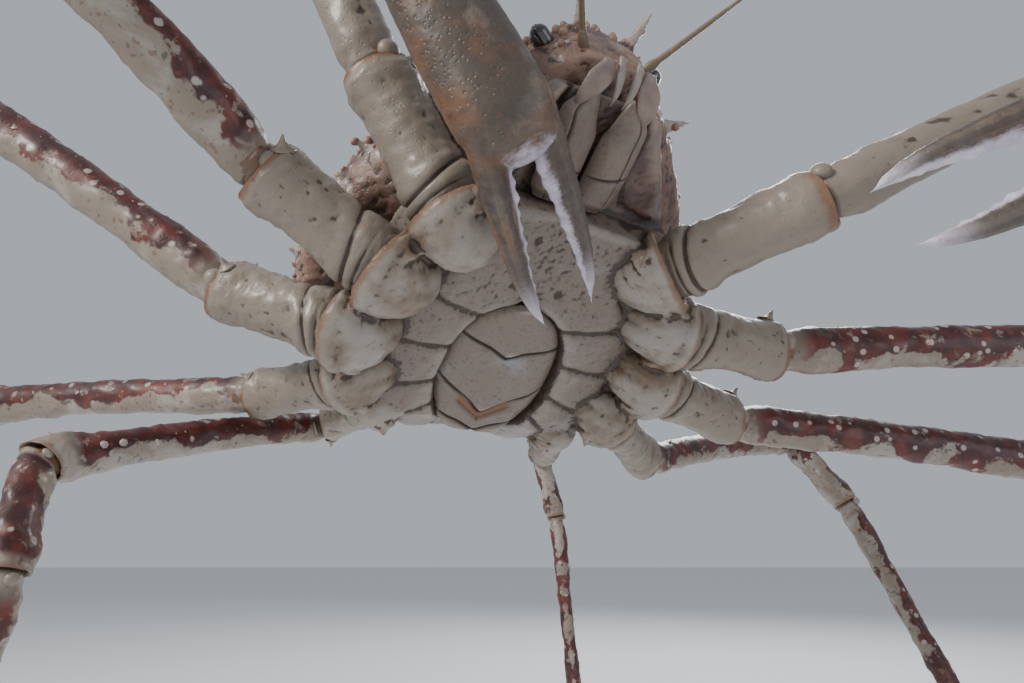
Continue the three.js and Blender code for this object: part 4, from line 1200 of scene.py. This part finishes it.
def make_looks(colours):
    groups = {"stain": stain_group(), "grain": grain_group()}
    pale, olive, rust = tuple(colours.pale), tuple(colours.olive), tuple(colours.rust)
    dark, spot = tuple(colours.dark), tuple(colours.spot)
    looks = {}

    def joint_colours(finish, color, strength=0.75):
        """Rusty cup rims, dark grooves and dark cups laid over the shell's own colour; the groove value also
        carries painted shade at the hip roots, the thorax corner and the mouth cleft.
        """
        rough_rim = finish.plus(finish.value("rim"), finish.times(noise(finish.tree, 60.0), 0.5))
        color = finish.mix(finish.times(finish.ramp(rough_rim, 0.55, 1.15), strength), color, rust)
        color = finish.mix(finish.ramp(finish.value("groove"), 0.2, 0.8), color, GROOVE_DARK_AND_SHADE)
        return finish.mix(finish.value("deep"), color, CUP_BROWN)

    def pale_look(name, amount):
        """Pale shell with olive clouds, rusty blots and dark specks, a painted highlight along the upper side
        and painted shade along the lower side.
        """
        finish = Finish(name, groups)
        color, rough = finish.stained(pale, olive, (0.10, 0.06, 0.05), amount, 21.0)
        color = finish.mix(finish.clouds(46.0, 7.0, 0.6, 0.6, 0.72, 0.55), color, RUST_BLOT)
        # Painted highlight: the pale spot colour laid thinly over the upper side.
        upper = finish.ramp(finish.value("top"), 0.1, 0.95)
        color = finish.mix(finish.times(upper, 0.2), color, spot)
        # Painted shade: darker brown towards the lower side.
        lower = finish.ramp(finish.times(finish.value("top"), -1.0), -0.1, 0.95)
        color = finish.mix(finish.times(lower, 0.5), color, LOWER_SHADE)
        color = joint_colours(finish, finish.with_hollow_shade(color))
        return finish.done(color, rough, bump=0.7, distance=0.0008)

    def banded_look(name, cover, scale):
        """Maroon blotches with pale spots along the upper side, pale below and at both ends."""
        finish = Finish(name, groups)
        color, rough = finish.stained(pale, olive, (0.12, 0.07, 0.06), 0.42, 24.0)
        band = finish.ramp(finish.wander(finish.value("top"), scale, 4.0, 3.4), cover, cover + 0.16)
        start = finish.ramp(finish.value("along"), 0.01, 0.07)
        end = finish.ramp(finish.value("along"), 0.9, 0.97)
        band = finish.times(band, finish.times(start, finish.one_less(end)))
        band = finish.times(band, finish.one_less(finish.clouds(75.0, 5.0, 0.65, 0.6, 0.66, 0.8)))
        maroon = finish.mix(finish.clouds(60.0, 6.0, 0.55, 0.38, 0.72), dark, BAND_GLOW)
        spots = finish.times(finish.ramp(cells(finish.tree, 80.0), 0.24, 0.16), 0.7)
        color = finish.mix(band, finish.with_hollow_shade(color, amount=0.6), finish.mix(spots, maroon, spot))
        color = finish.mix(finish.clouds(210.0, 3.0, 0.55, 0.6, 0.68, 0.6), color, SPECK_RED)
        color = joint_colours(finish, color, 0.5)
        color = finish.mix(finish.times(finish.value("spur"), 0.7), color, spot)
        return finish.done(color, rough)

    for name, amount in (("ischium", 0.6), ("claw_ischium", 0.62),
                         ("claw_merus", 0.6), ("claw_carpus", 0.58)):
        looks[name] = pale_look(name + "_shell", amount)
    for name, cover, scale in (("carpus", -0.5, 34.0), ("merus_right", -0.2, 27.0),
                               ("merus_left", -0.8, 30.0), ("propodus", -0.95, 38.0)):
        looks[name] = banded_look(name + "_shell", cover, scale)

    finish = Finish("dactylus_shell", groups)
    color, rough = finish.stained(pale, olive, dark, 0.5, 40.0)
    color = finish.mix(finish.ramp(finish.value("along"), 0.62, 0.95), finish.with_hollow_shade(color), TIP_BROWN)
    looks["dactylus"] = finish.done(joint_colours(finish, color, 0.5), rough)

    finish = Finish("hand_shell", groups, coat=0.2)
    color, rough = finish.stained(tuple(colours.hand), *HAND_STAINS, 0.6, 15.0)
    color = finish.mix(finish.clouds(17.0, 7.0, 0.62, 0.48, 0.66, 0.6), color, HAND_ORANGE)
    color = finish.mix(finish.clouds(75.0, 6.0, 0.65, 0.52, 0.66, 0.55), color, HAND_MOTTLE)
    color = finish.mix(finish.clouds(33.0, 6.0, 0.6, 0.56, 0.72, 0.35), color, HAND_CLOUD)
    finger = finish.ramp(finish.value("tip"), 0.05, 0.35)
    streak = finish.ramp(finish.wander(finish.value("streak"), 55.0, 4.0, 0.9), 0.35, 0.75)
    color = finish.mix(finish.times(finish.times(streak, finger), 0.85), color, HAND_STREAK)
    color = finish.with_hollow_shade(color, worn=HAND_WORN)
    inner = finish.ramp(finish.wander(finish.value("inner"), 110.0, 6.0, 0.6), 0.5, 0.9)
    tip = finish.ramp(finish.value("tip"), 0.72, 0.98)
    lavender = finish.mix(finish.clouds(120.0, 5.0, 0.55, 0.35, 0.7), *TOOTH_COLOURS)
    color = finish.mix(maths(finish.tree, "MAXIMUM", inner, tip), color, lavender)
    looks["hand"] = finish.done(color, rough, pores=0.8, bump=0.7, distance=0.0008)

    finish = Finish("underside_shell", groups)
    color, rough = finish.stained(tuple(colours.under), *UNDER_STAINS, 0.52, 17.0)
    color = finish.mix(finish.clouds(170.0, 4.0, 0.55, 0.58, 0.68, 0.7), color, FRECKLE)
    hip = finish.mix(finish.clouds(24.0, 7.0, 0.6, 0.4, 0.6), pale, HIP_STAIN)
    hip = finish.mix(finish.clouds(52.0, 6.0, 0.55, 0.58, 0.72, 0.6), hip, HIP_BLOT)
    color = finish.mix(finish.value("hip"), color, hip)
    flank = finish.mix(finish.clouds(40.0, 6.0, 0.55, 0.4, 0.65), *FLANK_COLOURS)
    color = finish.with_hollow_shade(finish.mix(finish.value("flank"), color, flank), amount=0.95)
    looks["underside"] = finish.done(joint_colours(finish, color, 0.7), rough, bump=0.7, distance=0.0008)

    finish = Finish("carapace_shell", groups)
    ground, rough = finish.stained(tuple(colours.back), *BACK_STAINS, 0.55, 16.0)
    ground = finish.mix(finish.clouds(28.0, 6.0, 0.55, 0.52, 0.7, 0.6), ground, BACK_ORANGE)
    margin = finish.mix(finish.clouds(40.0, 6.0, 0.55, 0.4, 0.65), *MARGIN_COLOURS)
    color = finish.mix(finish.ramp(finish.value("above"), 0.0, 0.6), margin, ground)
    color = finish.mix(finish.times(finish.value("groove"), 0.7), color, FURROW_BROWN)
    color = finish.with_hollow_shade(color, worn=BACK_WORN)
    color = finish.mix(finish.times(finish.value("spur"), 0.55), color, spot)
    looks["carapace"] = finish.done(color, rough, bump=0.8, distance=0.0012)

    finish = Finish("tubercle_shell", groups)
    looks["tubercle"] = finish.done(*finish.stained(*TUBERCLE_COLOURS, 0.45, 60.0))

    finish = Finish("joint_skin", groups, coat=0.3)
    color, _ = finish.stained(*SLEEVE_COLOURS, 0.5, 70.0)
    looks["sleeve"] = finish.done(color, 0.42, pores=0.2, waves=1.0)

    finish = Finish("antenna_shell", groups)
    looks["antenna"] = finish.done(*finish.stained(pale, olive, (0.12, 0.05, 0.03), 0.5, 90.0))

    finish = Finish("eye_gloss", groups, coat=1.0)
    black, _ = finish.stained(*EYE_COLOURS, 0.4, 200.0)
    color = finish.mix(finish.ramp(finish.value("along"), 0.42, 0.5), pale, black)
    looks["eye"] = finish.done(color, 0.12, pores=0.1, waves=0.1, bump=0.15)
    return looks


# ------------------------------------------------------------------ repeated forms
def tubercle_tree():
    """Scatters rounded tubercles over a surface where its value named above is high."""
    tree, given, result = new_tree(
        "tubercles", "GeometryNodeTree",
        (("Geometry", "Geometry", None), ("Spacing", "Float", 0.008), ("Smallest", "Float", 0.0012),
         ("Largest", "Float", 0.0034), ("Seed", "Int", 4), ("Finish", "Material", None)),
        (("Geometry", "Geometry"),))
    cover = add_node(tree, "GeometryNodeInputNamedAttribute", {"Name": "above"}, data_type="FLOAT")
    scatter = add_node(
        tree, "GeometryNodeDistributePointsOnFaces",
        {"Mesh": given["Geometry"], "Distance Min": given["Spacing"], "Density Max": 40000.0,
         "Density Factor": cover.outputs["Attribute"], "Seed": given["Seed"]}, distribute_method="POISSON")
    ball = add_node(tree, "GeometryNodeMeshIcoSphere", {"Radius": 1.0, "Subdivisions": 2})
    size = add_node(tree, "FunctionNodeRandomValue",
                    {2: given["Smallest"], 3: given["Largest"], "Seed": given["Seed"]}, data_type="FLOAT")
    stretch = add_node(tree, "ShaderNodeVectorMath", {0: (1.0, 1.0, 1.25), "Scale": size.outputs[1]},
                       operation="SCALE")
    place = add_node(tree, "GeometryNodeInstanceOnPoints",
                     {"Points": scatter.outputs["Points"], "Rotation": scatter.outputs["Rotation"],
                      "Instance": ball.outputs["Mesh"], "Scale": stretch.outputs["Vector"]})
    real = add_node(tree, "GeometryNodeRealizeInstances", {"Geometry": place.outputs["Instances"]})
    paint = add_node(tree, "GeometryNodeSetMaterial",
                     {"Geometry": real.outputs["Geometry"], "Material": given["Finish"]})
    shade = add_node(tree, "GeometryNodeSetShadeSmooth", {"Geometry": paint.outputs["Geometry"]})
    feed(tree, result["Geometry"], shade.outputs["Geometry"])
    inputs = [item for item in tree.interface.items_tree if item.in_out == "INPUT"]
    return tree, {item.name: item.identifier for item in inputs}


def scatter_tubercles(name, ground, finish, relief):
    tree, sockets = tubercle_tree()
    carrier = bpy.data.objects.new(name + "_carrier", ground.data.copy())
    bpy.context.scene.collection.objects.link(carrier)
    modifier = carrier.modifiers.new("tubercles", "NODES")
    modifier.node_group = tree
    for key, value in (("Spacing", relief.spacing), ("Smallest", relief.smallest),
                       ("Largest", relief.largest), ("Seed", relief.seed), ("Finish", finish)):
        modifier[sockets[key]] = value
    graph = bpy.context.evaluated_depsgraph_get()
    mesh = bpy.data.meshes.new_from_object(carrier.evaluated_get(graph))
    bpy.data.objects.remove(carrier)
    mesh.name = name
    obj = bpy.data.objects.new(name, mesh)
    bpy.context.scene.collection.objects.link(obj)
    return obj


# ------------------------------------------------------------------ add-on parts
def colour(name, description, default):
    return bpy.props.FloatVectorProperty(
        name=name, description=description, subtype="COLOR", default=default)


class CrabColours(bpy.types.PropertyGroup):
    pale: colour("Pale shell", "Ground colour of the limbs", (0.31, 0.27, 0.235))
    under: colour("Underside", "Ground colour of the underside plates", (0.275, 0.275, 0.28))
    olive: colour("Olive stain", "Stain over the pale shell", (0.165, 0.115, 0.07))
    rust: colour("Rust rim", "Colour of the cup rims at the joints", (0.20, 0.075, 0.025))
    dark: colour("Dark band", "Maroon of the upper side of the limbs", (0.042, 0.006, 0.006))
    spot: colour("Pale spot", "Spots in the dark band and on thorn tips", (0.58, 0.51, 0.46))
    hand: colour("Hand", "Ground colour of palm and fingers", (0.17, 0.105, 0.062))
    back: colour("Back", "Ground colour of the carapace", (0.27, 0.135, 0.10))


class CrabRelief(bpy.types.PropertyGroup):
    spacing: bpy.props.FloatProperty(
        name="Tubercle spacing", description="Least distance between two tubercles of the back",
        default=0.0075, unit="LENGTH")
    smallest: bpy.props.FloatProperty(
        name="Smallest tubercle", description="Least radius of a tubercle", default=0.0011, unit="LENGTH")
    largest: bpy.props.FloatProperty(
        name="Largest tubercle", description="Greatest radius of a tubercle", default=0.0036, unit="LENGTH")
    seed: bpy.props.IntProperty(name="Seed", description="Seed of the scatter", default=4)


class CrabStage(bpy.types.PropertyGroup):
    camera_height: bpy.props.FloatProperty(
        name="Camera height", description="Height of the camera above the floor", default=0.33, unit="LENGTH")
    tilt: bpy.props.FloatProperty(
        name="Camera tilt", description="Upward tilt of the camera",
        default=math.radians(15.9), subtype="ANGLE")
    lens: bpy.props.FloatProperty(
        name="Lens", description="Focal length for a 36 mm wide sensor", default=24.61, unit="CAMERA")


LOOKS = {}
MADE = {}


def looks():
    if not LOOKS:
        LOOKS.update(make_looks(bpy.context.scene.crab_colours))
    return LOOKS


class CRAB_OT_stage(bpy.types.Operator):
    """Make the camera, the pale floor and the soft studio light"""
    bl_idname = "crab.stage"
    bl_label = "Stage"

    def execute(self, context):
        stage = context.scene.crab_stage
        data = bpy.data.cameras.new("photo_camera")
        data.sensor_width = 36.0
        data.lens = stage.lens
        data.dof.use_dof = False
        data.clip_start = 0.01
        camera = bpy.data.objects.new("photo_camera", data)
        camera.location = (*ORIGIN_SHIFT[:2], stage.camera_height)
        camera.rotation_euler = (math.pi / 2 + stage.tilt, 0, 0)
        context.scene.collection.objects.link(camera)
        context.scene.camera = camera
        floor = mesh_object("floor", [(-9, -9, 0), (9, -9, 0), (9, 9, 0), (-9, 9, 0)], [(0, 1, 2, 3)], {},
                            plain_floor())
        world = bpy.data.worlds.new("studio")
        world.use_nodes = True
        world.node_tree.nodes["Background"].inputs["Color"].default_value = (0.80, 0.86, 0.93, 1)
        world.node_tree.nodes["Background"].inputs["Strength"].default_value = 0.55
        context.scene.world = world
        for name, place, aim, size, power, colour in (
                ("key", (-1.7, -1.2, 1.7), (0, 0, 0.45), 0.8, 50, (1.0, 0.97, 0.92)),
                ("fill", (1.8, -1.5, 0.8), (0, 0, 0.45), 1.4, 8, (0.90, 0.95, 1.0)),
                ("back", (0.7, 1.9, 1.9), (0, 0, 0.4), 1.2, 46, (1.0, 1.0, 1.0))):
            lamp = bpy.data.lights.new(name, "AREA")
            lamp.shape = "DISK"
            lamp.size = size
            lamp.energy = power
            lamp.color = colour
            light = bpy.data.objects.new(name, lamp)
            light.location = place
            light.rotation_euler = (Vector(aim) - Vector(place)).to_track_quat("-Z", "Y").to_euler()
            context.scene.collection.objects.link(light)
        return {"FINISHED"}


def plain_floor():
    material = bpy.data.materials.new("pale_floor")
    material.use_nodes = True
    shader = material.node_tree.nodes["Principled BSDF"]
    shader.inputs["Base Color"].default_value = (0.72, 0.73, 0.74, 1)
    shader.inputs["Roughness"].default_value = 0.85
    return material


class CRAB_OT_underside(bpy.types.Operator):
    """Build the underside plates with the ten hips"""
    bl_idname = "crab.underside"
    bl_label = "Underside"

    def execute(self, context):
        build_underside(looks())
        return {"FINISHED"}


class CRAB_OT_pleon(bpy.types.Operator):
    """Build the folded tail plate"""
    bl_idname = "crab.pleon"
    bl_label = "Tail plate"

    def execute(self, context):
        build_pleon(looks())
        return {"FINISHED"}


class CRAB_OT_mouth(bpy.types.Operator):
    """Build the outer mouthparts"""
    bl_idname = "crab.mouth"
    bl_label = "Mouthparts"

    def execute(self, context):
        build_mouthparts(looks())
        return {"FINISHED"}


class CRAB_OT_face(bpy.types.Operator):
    """Build the eyes and the feelers"""
    bl_idname = "crab.face"
    bl_label = "Eyes and feelers"

    def execute(self, context):
        build_face(looks())
        return {"FINISHED"}


class CRAB_OT_carapace(bpy.types.Operator):
    """Build the back shell with its thorns"""
    bl_idname = "crab.carapace"
    bl_label = "Carapace"

    def execute(self, context):
        MADE["carapace"] = build_carapace(looks())
        return {"FINISHED"}


class CRAB_OT_tubercles(bpy.types.Operator):
    """Scatter the tubercles over the back"""
    bl_idname = "crab.tubercles"
    bl_label = "Tubercles"

    def execute(self, context):
        piece = scatter_tubercles(
            "carapace_tubercles", MADE["carapace"], looks()["tubercle"], context.scene.crab_relief)
        finish_piece(piece, "carapace_shell")
        return {"FINISHED"}


class CRAB_OT_claws(bpy.types.Operator):
    """Build both claw limbs"""
    bl_idname = "crab.claws"
    bl_label = "Claw limbs"

    def execute(self, context):
        for side in ("left", "right"):
            build_limb(side, 1, looks())
        return {"FINISHED"}


class CRAB_OT_legs(bpy.types.Operator):
    """Build the eight walking legs"""
    bl_idname = "crab.legs"
    bl_label = "Walking legs"

    def execute(self, context):
        for side in ("left", "right"):
            for pair in (2, 3, 4, 5):
                build_limb(side, pair, looks())
        return {"FINISHED"}


class CRAB_PT_panel(bpy.types.Panel):
    """Lists the crab's parts and their settings"""
    bl_idname = "CRAB_PT_panel"
    bl_label = "Giant Spider Crab"
    bl_space_type = "VIEW_3D"
    bl_region_type = "UI"
    bl_category = "Crab"

    def draw(self, context):
        scene = context.scene
        for group in (scene.crab_stage, scene.crab_colours, scene.crab_relief):
            for name in group.__annotations__:
                self.layout.prop(group, name)
        for operator in PART_OPERATORS:
            self.layout.operator(operator.bl_idname)


PART_OPERATORS = (CRAB_OT_stage, CRAB_OT_underside, CRAB_OT_pleon, CRAB_OT_mouth, CRAB_OT_face,
                  CRAB_OT_carapace, CRAB_OT_tubercles, CRAB_OT_claws, CRAB_OT_legs)
CLASSES = (CrabColours, CrabRelief, CrabStage, *PART_OPERATORS, CRAB_PT_panel)


def register():
    for item in CLASSES:
        bpy.utils.register_class(item)
    bpy.types.Scene.crab_colours = bpy.props.PointerProperty(type=CrabColours)
    bpy.types.Scene.crab_relief = bpy.props.PointerProperty(type=CrabRelief)
    bpy.types.Scene.crab_stage = bpy.props.PointerProperty(type=CrabStage)


def unregister():
    for name in ("crab_colours", "crab_relief", "crab_stage"):
        delattr(bpy.types.Scene, name)
    for item in reversed(CLASSES):
        bpy.utils.unregister_class(item)


def main():
    register()
    bpy.ops.crab.stage()
    bpy.ops.crab.underside()
    bpy.ops.crab.pleon()
    bpy.ops.crab.mouth()
    bpy.ops.crab.face()
    bpy.ops.crab.carapace()
    bpy.ops.crab.tubercles()
    bpy.ops.crab.claws()
    bpy.ops.crab.legs()


if __name__ == "__main__":
    main()
